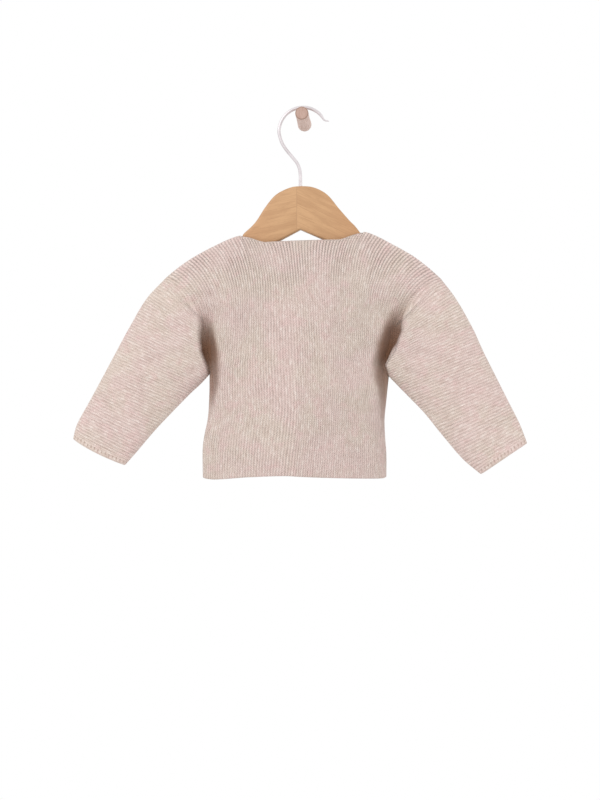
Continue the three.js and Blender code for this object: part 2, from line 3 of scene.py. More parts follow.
import bpy
import numpy as np
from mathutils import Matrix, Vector


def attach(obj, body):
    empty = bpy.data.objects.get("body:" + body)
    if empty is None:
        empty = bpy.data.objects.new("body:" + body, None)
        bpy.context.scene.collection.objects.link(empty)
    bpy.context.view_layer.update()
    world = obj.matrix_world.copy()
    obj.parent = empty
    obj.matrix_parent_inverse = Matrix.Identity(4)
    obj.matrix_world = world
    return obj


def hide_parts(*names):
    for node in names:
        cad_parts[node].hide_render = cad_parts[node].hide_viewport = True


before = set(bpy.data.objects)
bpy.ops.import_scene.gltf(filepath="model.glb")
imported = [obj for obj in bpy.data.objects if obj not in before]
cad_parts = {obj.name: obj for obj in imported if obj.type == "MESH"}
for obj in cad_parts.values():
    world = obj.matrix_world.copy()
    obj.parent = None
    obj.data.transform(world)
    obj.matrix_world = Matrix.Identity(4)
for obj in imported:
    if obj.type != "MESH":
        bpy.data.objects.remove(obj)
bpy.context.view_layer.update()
mm = 0.001
print("frame loaded:", len(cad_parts), "nodes")


# Helpers for surfaces: every shape is worked out in millimetres and put into its mesh in metres

def smooth(t):  # an ease from 0 to 1: 3 t squared less 2 t cubed
    t = np.clip(t, 0, 1)
    return t * t * (3 - 2 * t)


def mix(a, b, t):
    return a + (b - a) * t


def through(table, by, out):  # cubic Hermite curve through a table, tangents from each row's two neighbours
    at, value = np.array(table[by], float), np.array(table[out], float)
    last = len(at) - 1
    before, after = np.maximum(np.arange(last + 1) - 1, 0), np.minimum(np.arange(last + 1) + 1, last)
    slope = (value[after] - value[before]) / (at[after] - at[before])

    def curve(x):
        i = np.clip(np.searchsorted(at, x, side="left") - 1, 0, last - 1)
        span = at[i + 1] - at[i]
        t = np.clip((x - at[i]) / span, 0, 1)
        bend = slope[i] * t * (1 - t) ** 2 - slope[i + 1] * t * t * (1 - t)
        return mix(value[i], value[i + 1], t * t * (3 - 2 * t)) + span * bend
    return curve


def rounded(t, exponent):  # a superellipse quarter: 0 at the edge, 1 where the turn is finished
    return (1 - (1 - np.clip(t, 0, 1)) ** exponent) ** (1 / exponent)


def unit(v):
    return v / np.maximum(np.linalg.norm(v, axis=-1, keepdims=True), 1e-9)


def gridNormals(points, closedAcross=False):  # cross product of the differences along and across a grid
    along = np.gradient(points, axis=0)
    if closedAcross:
        across = (np.roll(points, -1, 1) - np.roll(points, 1, 1)) / 2
    else:
        across = np.gradient(points, axis=1)
    return unit(np.cross(along, across))


def newPiece(name, points, faces, material, replaced=(), uv=None, paintedFoldShade=None, isSmooth=True):
    mesh = bpy.data.meshes.new(name)
    mesh.from_pydata((points * mm).tolist(), [], faces.tolist() if hasattr(faces, "tolist") else faces)
    mesh.polygons.foreach_set("use_smooth", np.broadcast_to(isSmooth, len(mesh.polygons)))
    if uv is not None:
        layer = mesh.uv_layers.new(name="rows")
        layer.data.foreach_set("uv", uv.astype(np.float32).ravel())
    # a per-point share of the shade painted into the underarm folds
    if paintedFoldShade is not None:
        layer = mesh.attributes.new("paintedFoldShade", "FLOAT", "POINT")
        layer.data.foreach_set("value", paintedFoldShade.astype(np.float32).ravel())
    mesh.materials.append(material)
    mesh.update()
    piece = bpy.data.objects.new(name, mesh)
    bpy.context.scene.collection.objects.link(piece)
    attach(piece, "root")
    if replaced:
        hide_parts(*replaced)
    return piece


def gridFaces(rows, columns, closedRows=False, closedColumns=False):
    i = np.arange(rows if closedRows else rows - 1)[:, None]
    j = np.arange(columns if closedColumns else columns - 1)[None, :]
    i, j = np.broadcast_arrays(i, j)
    nextI, nextJ = (i + 1) % rows, (j + 1) % columns
    here, after = i * columns, nextI * columns
    corner = np.stack([here + j, here + nextJ, after + nextJ, after + j], -1)
    return corner.reshape(-1, 4)


def fanVolume(points, faces):  # six times the volume between the origin and each face, cut into fans
    first = points[faces[:, 0]]
    fans = [np.cross(points[faces[:, k]], points[faces[:, k + 1]]) for k in range(1, faces.shape[1] - 1)]
    return sum(float((first * fan).sum()) for fan in fans)


def tubeFaces(points):  # quads round a closed tube and a face on each end, all turned outwards
    rows, columns = points.shape[:2]
    quads = gridFaces(rows, columns, closedColumns=True)
    ends = np.stack([np.arange(columns)[::-1], (rows - 1) * columns + np.arange(columns)])
    flat = points.reshape(-1, 3) - points.reshape(-1, 3).mean(0)
    if fanVolume(flat, quads) + fanVolume(flat, ends) < 0:
        quads, ends = quads[:, ::-1], ends[:, ::-1]
    return quads.tolist() + ends.tolist()


# Shader maths: a socket that can be written in sums, each of which adds its Math node

class Wire:
    def __init__(self, tree, socket):
        self.tree = tree
        self.socket = socket

    def math(self, operation, *others):
        node = self.tree.nodes.new("ShaderNodeMath")
        node.operation = operation
        for i, value in enumerate((self, *others)):
            plug(self.tree, node.inputs[i], value)
        return Wire(self.tree, node.outputs[0])

    def __add__(self, other):
        return self.math("ADD", other)

    def __radd__(self, other):
        return self.math("ADD", other)

    def __sub__(self, other):
        return self.math("SUBTRACT", other)

    def __mul__(self, other):
        return self.math("MULTIPLY", other)

    def __rmul__(self, other):
        return self.math("MULTIPLY", other)

    def __truediv__(self, other):
        return self.math("DIVIDE", other)

    def __rsub__(self, other):
        return self.math("MULTIPLY", -1.0) + other


def plug(tree, socket, value):
    if isinstance(value, Wire):
        tree.links.new(value.socket, socket)
    else:
        socket.default_value = value


class Finish:
    def __init__(self, name):
        self.material = bpy.data.materials.new(name)
        self.material.use_nodes = True
        self.tree = self.material.node_tree
        self.shader = self.tree.nodes["Principled BSDF"]

    def node(self, kind, settings=None, sockets=None, output=0):
        node = self.tree.nodes.new("ShaderNode" + kind)
        for name, value in (settings or {}).items():
            setattr(node, name, value)
        for name, value in (sockets or {}).items():
            plug(self.tree, node.inputs[name], value)
        return Wire(self.tree, node.outputs[output])

    def blend(self, factor, a, b, kind="MIX"):  # one colour over another
        settings = {"data_type": "RGBA", "blend_type": kind}
        return self.node("Mix", settings, {0: factor, 6: a, 7: b}, 2)

    def noise(self, vector, scale, detail=2.0, roughness=0.5):
        sockets = {"Vector": vector, "Scale": scale, "Detail": detail, "Roughness": roughness}
        return self.node("TexNoise", None, sockets)

    def split(self, vector):
        parts = self.node("SeparateXYZ", None, {0: vector})
        return [Wire(self.tree, socket) for socket in parts.socket.node.outputs]

    def join(self, x, y, z=0.0):
        return self.node("CombineXYZ", None, {"X": x, "Y": y, "Z": z})

    def step(self, value, low, high):  # 0 below low, 1 above high, eased between
        settings = {"interpolation_type": "SMOOTHSTEP"}
        return self.node("MapRange", settings, {"Value": value, "From Min": low, "From Max": high})

    def bump(self, height, distance, strength=1.0):
        sockets = {"Height": height, "Distance": distance, "Strength": strength}
        return self.node("Bump", None, sockets)

    def finish(self, colour, roughness, normal=None, **constants):
        plug(self.tree, self.shader.inputs["Base Color"], colour)
        plug(self.tree, self.shader.inputs["Roughness"], roughness)
        if normal is not None:
            plug(self.tree, self.shader.inputs["Normal"], normal)
        for name, value in constants.items():
            self.shader.inputs[name.replace("_", " ")].default_value = value
        return self.material


# The garter stitch: u counts the ridges and v the stitches along each ridge

knitLook = {
    "pink": (0.682, 0.538, 0.496, 1), "sand": (0.662, 0.553, 0.482, 1), "rose": (0.715, 0.512, 0.488, 1),
    # cream and brown are the yarn's own flecks; fold is painted shade, the dark laid into the underarm folds
    "cream": (0.88, 0.80, 0.74, 1), "brown": (0.40, 0.275, 0.222, 1), "fold": (0.215, 0.108, 0.062, 1),
    "marksFrom": 0.35, "marksTo": 1.6, "marksEase": 0.2, "marksApart": 4.2,
    # the body's painted shade in the ridge valleys grows by topMore from height topFrom to topTo
    "topFrom": -0.205, "topTo": -0.145, "topMore": 0.16,
}
knitKinds = {
    # contrast is how strongly shade is painted into the valleys between ridges
    "body": {"contrast": 0.205, "bump": 0.00055, "beads": 0.5},
    "sleeve": {"contrast": 0.15, "bump": 0.00042, "beads": 0.5},
    "cuff": {"contrast": 0.08, "bump": 0.00040, "beads": 0.35},
    "band": {"contrast": 0.06, "bump": 0.00030, "beads": 0.6},
}


def knitFinish(name, kind):
    look, own, f = knitLook, knitKinds[kind], Finish(name)
    rows = f.node("UVMap", {"uv_map": "rows"})
    place = f.node("TexCoord", None, None, 3)
    wobble = f.noise(place, 90.0, 1.0) - 0.5
    u, v, _ = f.split(rows)
    u = u + wobble * 0.16
    v = v + wobble * 0.5
    turn = 2 * math.pi
    # the ridge is 0 in the valleys and 1 on the crests; the beads are the loops on its two sides
    ridge = (u * turn).math("COSINE") * -0.5 + 0.5
    beads = (u * turn).math("SINE") * (v * turn).math("COSINE")
    lane = (u * 2.0).math("FLOOR")
    streak = f.noise(f.join(lane * 7.31, v * 0.3), 1.0, 2.0)    # the yarn's own colour, running along its row
    fleck = f.noise(place, 620.0, 3.0, 0.65)
    fibre = f.noise(f.join(u * 3.0, v * 0.9, lane), 2.4, 3.0, 0.6)
    hair = f.noise(place, 2600.0, 3.0, 0.7)
    drift = f.noise(place, 26.0, 2.0)
    patch = f.noise(place, 85.0, 2.0)
    valleyShadePatches = f.noise(place, 38.0, 2.0)
    colour = f.blend(f.step(drift, 0.35, 0.65), look["pink"], look["sand"])
    colour = f.blend(f.step(patch, 0.5, 0.68) * 0.45, colour, look["rose"])
    colour = f.blend(f.step(streak, 0.5, 0.72) * 0.45, colour, look["cream"])
    colour = f.blend(f.step(streak, 0.5, 0.28) * 0.28, colour, look["brown"])
    colour = f.blend(f.step(fleck, 0.56, 0.72) * 0.42, colour, look["cream"])
    colour = f.blend(f.step(fleck, 0.42, 0.27) * 0.32, colour, look["brown"])
    # how deep shade is painted into the ridge valleys: patchy, and on the body more towards the top
    contrast = f.step(valleyShadePatches, 0.3, 0.7) * 0.7 + 0.65
    if kind == "body":
        _, _, z = f.split(place)
        contrast = contrast * (f.step(z, look["topFrom"], look["topTo"]) * look["topMore"] + own["contrast"])
    else:
        contrast = contrast * own["contrast"]
    # painted shade: the valleys between the ridges are darkened in the colour
    shade = 1 - (1 - f.step(ridge + beads * 0.22, -0.05, 0.6)) * contrast
    colour = f.blend(1.0, colour, f.join(shade, shade * 0.995 + 0.002, shade), "MULTIPLY")
    # painted shade: the underarm folds are darkened in the colour by a per-point attribute
    paintedFoldShade = f.node("Attribute", {"attribute_name": "paintedFoldShade"}, None, 2)
    colour = f.blend(paintedFoldShade, colour, look["fold"])
    height = ridge.math("POWER", 0.8) + beads * own["beads"] + fibre * 0.35 + fleck * 0.2 + hair * 0.16
    if kind == "cuff":
        begin = f.step(u, look["marksFrom"], look["marksFrom"] + look["marksEase"])
        across = begin * f.step(u, look["marksTo"], look["marksTo"] - look["marksEase"])
        marks = f.step((v * (turn * cloth["stitch"] / look["marksApart"])).math("SINE"), 0.3, 0.85) * across
        colour = f.blend(marks * 0.5, colour, look["brown"])
        height = height - marks * 0.8
    normal = f.bump(height, own["bump"])
    return f.finish(colour, 0.93, normal, Sheen_Weight=0.12, Sheen_Roughness=0.6, Specular_IOR_Level=0.25)


# The hung cloth's form: the lines that bound it, seen from behind

cloth = {
    "hangY": -57.0, "wall": 2.2, "topRound": 9.8, "hangerTurn": 3.2, "freeTurn": 2.2,
    "turnFrom": 115.0, "turnTo": 150.0, "neckHalf": 64.0, "neckCornerDrop": 2.1, "backNeckDrop": 9.8,
    "backNeckShare": 0.62, "frontNeckDrop": 64.0, "frontNeckCurve": 1.1, "overlapShare": 0.09,
    "overlapLift": 1.4, "overlapRun": 0.16, "sideExponent": 2.6, "topSlope": 0.7265,
    "bowSkew": 0.85, "bowStart": 0.03, "armholeEnd": 0.86, "sleeveRise": 0.13, "foldRise": 3.5,
    "sleeveExponent": 2.2, "edgeShare": 0.16, "edgeRun": 3.0, "foldTop": -196, "foldRun": 26,
    "underFrom": -284, "underRun": 42, "cuffStart": 0.958, "cuffRaise": 0.1, "halfGap": 0.03, "rimSteps": 3,
    "stitch": 2.45, "ridges": 41, "ridgeCrowding": 0.07, "shoulderRidges": 46, "shoulderCrowding": -0.05,
    "ridgeHeight": 0.34, "sleeveRidgeHeight": 0.21, "sleeveRidge": 2.9,
}
hangY, wall = cloth["hangY"], cloth["wall"]
knit = {kind: knitFinish("garter_" + kind, kind) for kind in knitKinds}
print("knit finishes made")
shoulderRidge = {
    "x": [-152, -131.8, -112.9, -88.7, -74, -64, 0, 64, 76, 92.9, 115, 131.8, 152],
    "z": [-177, -160.1, -147.5, -134.9, -128.4, -125.8, -122.6, -122.5, -126.2, -134.9, -147.5, -160.1,
          -178.2],
}
middleRow = {"z": [-380, -271, -194, -123], "x": [-8.9, -4.7, -1.6, -0.5]}
rowShift = {"z": [-380, -330, -298, -240, -190, -136], "x": [10, 13.5, 13.5, 9.5, 5, 0]}
hemLine = {"w": [-1, -0.96, -0.85, -0.5, -0.1, 0.1, 0.35, 0.8, 0.97, 1],
           "z": [-379.6, -380.4, -380.8, -378.2, -376.7, -377.6, -378.5, -379.5, -379.5, -378.6]}
bodyDepths = {"drop": [0, 12, 45, 90, 140, 200, 260], "depth": [9.8, 10.4, 14.5, 19.5, 23, 25, 25]}
foldDepths = {"share": [0, 0.2, 0.35, 0.5, 0.65, 0.8, 1], "depth": [10.5, 12.0, 8.0, 3.6, 2.0, 1.8, 2.4]}
sleeves = {
    -1: {
        "name": "left", "sign": -1,
        "side": {"z": [-381, -350, -336, -318, -295, -271.4],
                 "x": [-104.8, -105, -103.2, -99.6, -98.2, -97.8]},
        "sections": {
            "along": [0, 0.15, 0.34, 0.485, 0.63, 0.775, 0.92, 1],
            "topX": [-144.4, -164.3, -183.2, -196.9, -210.5, -224.2, -238.4, -242.4],
            "topZ": [-170.3, -191.6, -223.1, -248.3, -273.5, -298.7, -324.6, -339.2],
            "lowX": [-97.8, -99.4, -108.7, -118.5, -136.5, -155.9, -176.9, -187.4],
            "lowZ": [-271.4, -273.2, -283, -292, -310.3, -330.8, -355.4, -367],
            "depth": [15, 17.5, 18.5, 17, 14.5, 12.2, 10.2, 9.4],
            "bow": [18, 12.5, 5.3, 2, 0.5, 0, -0.8, -1.4],
        },
        # the fold down the armhole; dark is how much shade is painted into it
        "fold": {
            "z": [-320, -307, -295, -282, -263, -257, -250, -244, -238, -232, -225, -219, -213, -206, -190],
            "lip": [0, 0, 0, 0, 0.7, 2.6, 4.9, 6.6, 6.5, 6.2, 4.5, 1.8, 0.2, 0, 0],
            "reach": [4, 5, 8, 11, 11.5, 11, 11, 10.5, 10, 9.5, 9.5, 10.5, 12, 13, 14],
            "dark": [0, 0.22, 0.55, 0.7, 0.85, 0.97, 1, 1, 0.95, 0.85, 0.65, 0.45, 0.2, 0.05, 0],
        },
        "lean": {"run": [0, 12, 30, 60, 100, 150, 205], "angle": [48, 38, 31, 25.5, 23.5, 25, 28]},
    },
    1: {
        "name": "right", "sign": 1,
        "side": {"z": [-381, -355, -336, -319, -300, -272.5], "x": [88, 88, 86.6, 86.1, 87.9, 90.8]},
        "sections": {
            "along": [0, 0.14, 0.32, 0.465, 0.61, 0.755, 0.90, 1],
            "topX": [144.4, 160.3, 178, 189.5, 202.1, 214.7, 227.3, 234.7],
            "topZ": [-170.9, -192, -223.1, -248.3, -273.5, -298.7, -323.9, -343.2],
            "lowX": [90.8, 92.6, 100.3, 109.5, 127.6, 145.4, 168.2, 186.4],
            "lowZ": [-272.5, -274.4, -283.8, -293.2, -311.9, -333.9, -360.6, -375.9],
            "depth": [15, 17.5, 18.5, 17, 14.5, 12.2, 10.2, 9.4],
            "bow": [19, 13, 5.5, 2, 0.5, 0, 0, 0.6],
        },
        # the fold down the armhole; dark is how much shade is painted into it
        "fold": {
            "z": [-335, -325, -312, -300, -288, -274, -267, -261, -255, -248, -242, -236, -229.5, -223, -217,
                  -210.5, -204, -198, -191, -178],
            "lip": [0, 0, 0, 0, 0, -1, -3.5, -6, -3.9, -1.4, 1.5, 4.2, 5, 6, 3.9, 2.3, 2.2, 2, 1, 0],
            "reach": [4, 4, 5.5, 7, 10, 15, 15, 15, 15, 15, 15, 14, 13, 12.5, 12, 13, 12, 8, 8, 8],
            "dark": [0, 0.1, 0.35, 0.55, 0.65, 0.8, 0.8, 0.85, 0.97, 1, 1, 0.95, 0.92, 0.85, 0.65, 0.45, 0.3,
                     0.2, 0.06, 0],
        },
        "lean": {"run": [0, 12, 30, 60, 100, 150, 205], "angle": [48, 38, 31, 24, 21, 25, 33]},
    },
}
ridgeZ = through(shoulderRidge, "x", "z")
middleX = through(middleRow, "z", "x")
hemZ = through(hemLine, "w", "z")
depthAtDrop = through(bodyDepths, "drop", "depth")
foldDepth = through(foldDepths, "share", "depth")
shiftX = through(rowShift, "z", "x")


def sleeveLine(sleeve, along, share):  # a section's chord, bowed towards the neck by a skewed sine
    at = {name: curve(along) for name, curve in sleeve["curves"].items()}
    runX, runZ = at["lowX"] - at["topX"], at["lowZ"] - at["topZ"]
    length = np.hypot(runX, runZ)
    bow = at["bow"] * np.sin(math.pi * share ** cloth["bowSkew"]) * (1 - np.exp(-share / cloth["bowStart"]))
    x = at["topX"] + runX * share + sleeve["sign"] * runZ * bow / length
    z = at["topZ"] + runZ * share - sleeve["sign"] * runX * bow / length
    return x, z, at["depth"]


for sleeve in sleeves.values():
    sections = sleeve["sections"]
    sleeve["sideX"] = through(sleeve["side"], "z", "x")
    sleeve["leanAt"] = through(sleeve["lean"], "run", "angle")
    sleeve["foldCurves"] = {name: through(sleeve["fold"], "z", name) for name in ("lip", "reach", "dark")}
    names = ["topX", "topZ", "lowX", "lowZ", "depth", "bow"]
    sleeve["curves"] = {name: through(sections, "along", name) for name in names}
    sleeve["topPoint"] = (sections["topX"][0], float(ridgeZ(sections["topX"][0])))
    sleeve["underPoint"] = (sections["lowX"][0], sections["lowZ"][0])
    shares = np.linspace(0, 1, 900)
    sleeve["armX"], sleeve["armZ"], _ = sleeveLine(sleeve, 0.0, shares)
    sleeve["armZ"] = np.minimum.accumulate(sleeve["armZ"])
    sleeve["armShare"] = shares


def armShareAt(sleeve, z):
    return np.interp(-z, -sleeve["armZ"], sleeve["armShare"])


def turnExponent(x):  # squarer over the hanger's flat edge, rounder past its arms
    share = (np.abs(x) - cloth["turnFrom"]) / (cloth["turnTo"] - cloth["turnFrom"])
    return mix(cloth["hangerTurn"], cloth["freeTurn"], smooth(share))


def foldAt(share):  # half the depth left in the fold, down the armhole
    return foldDepth(share) * rounded((1 - share) / (1 - cloth["armholeEnd"]), 2)


def sideX(sleeve, z):  # a straight run above the armhole, then the armhole, then the side seam
    topX, topZ = sleeve["topPoint"]
    above = topX + sleeve["sign"] * (z - topZ) / cloth["topSlope"]
    arm = np.interp(-z, -sleeve["armZ"], sleeve["armX"])
    return np.where(z > topZ, above, np.where(z > sleeve["underPoint"][1], arm, sleeve["sideX"](z)))


def columnX(w, z):
    middle = middleX(z)
    side = np.where(w < 0, sideX(sleeves[-1], z), sideX(sleeves[1], z))
    return middle + np.abs(w) * (side - middle)


def columnTopZ(w):  # where a column meets the shoulder ridge, by bisection
    low, high = np.full(w.shape, -185.0), np.full(w.shape, -110.0)
    for _ in range(40):
        middle = (low + high) / 2
        isBelow = middle - ridgeZ(columnX(w, middle)) < 0
        low, high = np.where(isBelow, middle, low), np.where(isBelow, high, middle)
    return (low + high) / 2


def catmull(points, perSpan):  # uniform Catmull-Rom curve, its ends doubled
    p = np.concatenate([points[:1], points, points[-1:]])
    t = np.linspace(0, 1, perSpan, endpoint=False)[None, :, None]
    a, b, c, d = (p[k:len(p) - 3 + k, None, :] for k in range(4))
    second, third = 2 * a - 5 * b + 4 * c - d, 3 * b - a - 3 * c + d
    curve = 0.5 * (2 * b + (c - a) * t + second * t ** 2 + third * t ** 3)
    return np.concatenate([curve.reshape(-1, p.shape[1]), points[-1:]])


def resample(points, count):  # the same curve at equal steps of its length, with what else its rows carry
    length = np.concatenate([[0], np.cumsum(np.linalg.norm(np.diff(points[:, :3], axis=0), axis=-1))])
    at = np.linspace(0, length[-1], count)
    return np.stack([np.interp(at, length, points[:, k]) for k in range(points.shape[1])], -1)


# Soft creases, listed one by one: each runs from one point to another, with its width and its depth

creases = {
    "back": [
        # x1, z1, x2, z2, width, depth
        (-98, -196, -76, -262, 12, 1.9), (-64, -205, -70, -300, 10, 1.1), (-15, -232, -19, -290, 5, 1.0),
        (-36, -215, -44, -372, 9, 0.8), (66, -232, 70, -330, 9, 0.9), (40, -250, 46, -378, 8, -0.6),
        (-92, -272, -97, -322, 6, 2.6), (82, -272, 82, -318, 6, 2.4), (-75, -182, -118, -196, 9, 1.4),
        (-84, -340, -100, -352, 6, 0.9), (78, -345, 88, -356, 6, 0.7), (16, -300, 12, -376, 7, -0.7),
        (-60, -330, -58, -380, 6, -0.8), (96, -178, 128, -186, 8, 1.0),
    ],
    "front": [
        (-84, -205, -70, -285, 11, 1.6), (72, -210, 62, -300, 11, 1.4), (-50, -190, -38, -268, 9, 0.9),
        (48, -200, 34, -262, 8, 0.8), (-64, -300, -72, -378, 8, -0.8), (60, -310, 70, -378, 9, 0.9),
        (-90, -274, -96, -318, 6, 2.2), (82, -274, 82, -312, 6, 2.2), (-30, -320, -34, -376, 7, 0.7),
        (88, -182, 120, -192, 8, 1.1), (-86, -184, -122, -198, 8, 1.0),
    ],
    "sleeve": [
        (118, -222, 160, -232, 7, 1.2), (112, -250, 168, -262, 8, 1.3), (128, -286, 176, -276, 7, 0.8),
        (150, -244, 196, -280, 9, -0.7), (160, -318, 214, -298, 8, 0.7), (142, -206, 158, -240, 9, -0.8),
        (186, -334, 226, -322, 7, 0.5), (104, -262, 134, -286, 5, 1.1),
    ],
}


def creaseDepth(rows, x, z):  # each is a Gaussian across its line, faded to nothing at both ends
    depth = np.zeros(np.shape(x))
    for x1, z1, x2, z2, width, amount in rows:
        runX, runZ = x2 - x1, z2 - z1
        length = math.hypot(runX, runZ)
        along = ((x - x1) * runX + (z - z1) * runZ) / length ** 2
        off = ((x - x1) * runZ - (z - z1) * runX) / length
        off = off + width * 0.25 * np.sin(along * 5.0 + x1)
        past = np.maximum(np.abs(along - 0.5) - 0.28, 0) / 0.22
        depth += amount * np.exp(-(off / width) ** 2 * 2) * (1 - smooth(past))
    return depth


def sideShape(sleeve, w, x, z, fold):
    # from 0 at the body's side to 1: a soft shoulder, then a fold that climbs over its reach and keeps a
    # thin round edge below the armhole, then a round seam; with it, how much shade is painted into the fold
    part = np.minimum(np.abs(w), 1)
    away = np.abs(x - sideX(sleeve, z))
    lip, reach, dark = (sleeve["foldCurves"][name](z) for name in ("lip", "reach", "dark"))
    shoulder = 1 - smooth(part ** 3)
    folded = smooth((away - np.maximum(-lip, 0) - 0.3) / reach) * np.sqrt(1 - (0.92 * part) ** 3)
    edge = cloth["edgeShare"] * rounded(away / cloth["edgeRun"], 2) * (1 - np.clip(fold / wall, 0, 1))
    folded = np.maximum(folded, edge)
    seam = np.sqrt(1 - part ** cloth["sideExponent"])
    across = mix(shoulder, folded, smooth((cloth["foldTop"] - z) / cloth["foldRun"]))
    across = mix(across, seam, smooth((cloth["underFrom"] - z) / cloth["underRun"]))
    return across, dark * (1 - smooth((away - 0.6 * reach) / (0.8 * reach)))


def bodySurface(panel, w, drop, topZ):  # the body's outer face: a dome between the two sides, plus its fold
    z = topZ - drop
    x = columnX(w, z)
    below = np.maximum(ridgeZ(x) - z, 0)
    fold, across, paintedFoldShade = np.zeros_like(x), np.zeros_like(x), np.zeros_like(x)
    for sign, sleeve in sleeves.items():
        mine = w >= 0 if sign > 0 else w < 0
        share = np.where(z > sleeve["topPoint"][1], 0.0, armShareAt(sleeve, z))
        fold = np.where(mine & (z > sleeve["underPoint"][1]), foldAt(share), fold)
        # dark is the shade painted into this side's fold
        shape, dark = sideShape(sleeve, w, x, z, fold)
        across = np.where(mine, shape, across)
        paintedFoldShade = np.where(mine, dark, paintedFoldShade)
    full = fold + (depthAtDrop(below) - fold) * across
    depth = full * rounded(below / cloth["topRound"], turnExponent(x)) + panel["lift"](w)
    crease = creaseDepth(creases[panel["kind"]], x, z) * smooth(below / 14)
    depth = depth - crease * np.clip(depth / 10, 0, 1)
    return np.stack([x, hangY + panel["face"] * np.maximum(depth, 0), z], -1), paintedFoldShade, fold


def armholeShare(sleeve, z):  # 0 at the shoulder's corner, 1 at the underarm, by height
    top, under = sleeve["topPoint"][1], sleeve["underPoint"][1]
    return smooth((top - z) / (top - under))


def ridgeWave(count, perStep):  # the raised ridge, made lower where the grid is too coarse to carry it
    samples = 1 / np.maximum(perStep, 1e-6)
    return (0.5 - 0.5 * np.cos(2 * math.pi * count)) * smooth((samples - 2.3) / 2.2)


def columnPlaces(ridges, perRidge):  # columns at equal shares of a ridge, measured round the body's side
    w = np.linspace(0, 1, 4000)
    depth = 24 * np.sqrt(1 - w ** 3.2)
    arc = np.concatenate([[0], np.cumsum(np.hypot(np.diff(w) * 99, np.diff(depth)))])
    return np.interp(np.linspace(0, arc[-1], ridges * perRidge + 1), arc, w)


def rowPlaces(count, turnRows):  # rows closer together where the cloth turns over the hanger
    quarter = 1 - np.cos(np.linspace(0, 1, turnRows + 1) * math.pi / 2) ** (2 / cloth["hangerTurn"])
    share = cloth["topRound"] / 250
    rest = np.linspace(share, 1, count - turnRows + 1)[1:]
    return np.concatenate([quarter * share, rest])


bodyPieces = {"perRidge": 5, "rows": 104, "turnRows": 12}


def cornerShare(w):  # how far a column is out towards its neck corner, 1 at the corner
    corner = np.where(w < 0, neckCorner[-1], neckCorner[1])
    return np.abs(w) / np.abs(corner)


def backNeck(w):
    share = cornerShare(w)
    level = smooth((1 - share) / (1 - cloth["backNeckShare"]))
    drop = mix(cloth["neckCornerDrop"], cloth["backNeckDrop"], level)
    return np.where(share < 0.999, drop, 0)


def frontNeck(sign):
    def drop(w):
        share = w / neckCorner[sign]
        deep = np.maximum(1 - share, 0) ** cloth["frontNeckCurve"]
        return np.where(share < 0.999, mix(cloth["neckCornerDrop"], cloth["frontNeckDrop"], deep), 0)
    return drop


def frontLift(sign):
    def lift(w):
        past = (sign * w - cloth["overlapShare"]) / cloth["overlapRun"]
        return sign * cloth["overlapLift"] * (1 - smooth(past))
    return lift


def findCorner(sign):
    w = np.linspace(0, 1, 2000) * sign
    return float(np.interp(cloth["neckHalf"], np.abs(columnX(w, columnTopZ(w))), np.abs(w))) * sign


neckCorner = {sign: findCorner(sign) for sign in (-1, 1)}


def closedLoop(outer, inner, bulgeLow, bulgeTop, steps):
    # outer rows, a rounded rim, inner rows and the other rim, as one loop down each column
    def rim(a, b, away, bulge):
        middle, half = (a + b) / 2, (a - b) / 2
        thick = np.linalg.norm(half, axis=-1, keepdims=True)
        angles = np.linspace(0, math.pi, steps + 2)[1:-1]
        return np.stack([middle + half * math.cos(t) + away * thick * math.sin(t) * bulge for t in angles], 0)
    low = rim(outer[-1], inner[-1], unit(outer[-1] - outer[-2]), bulgeLow)
    top = rim(inner[0], outer[0], unit(outer[0] - outer[1]), bulgeTop)
    return np.concatenate([outer, low, inner[::-1], top], 0)


def looped(values):  # a value of the flat surface, carried round the same loop
    low, top = (np.repeat(row, cloth["rimSteps"], 0) for row in (values[-1:], values[:1]))
    return np.concatenate([values, low, values[::-1], top], 0)


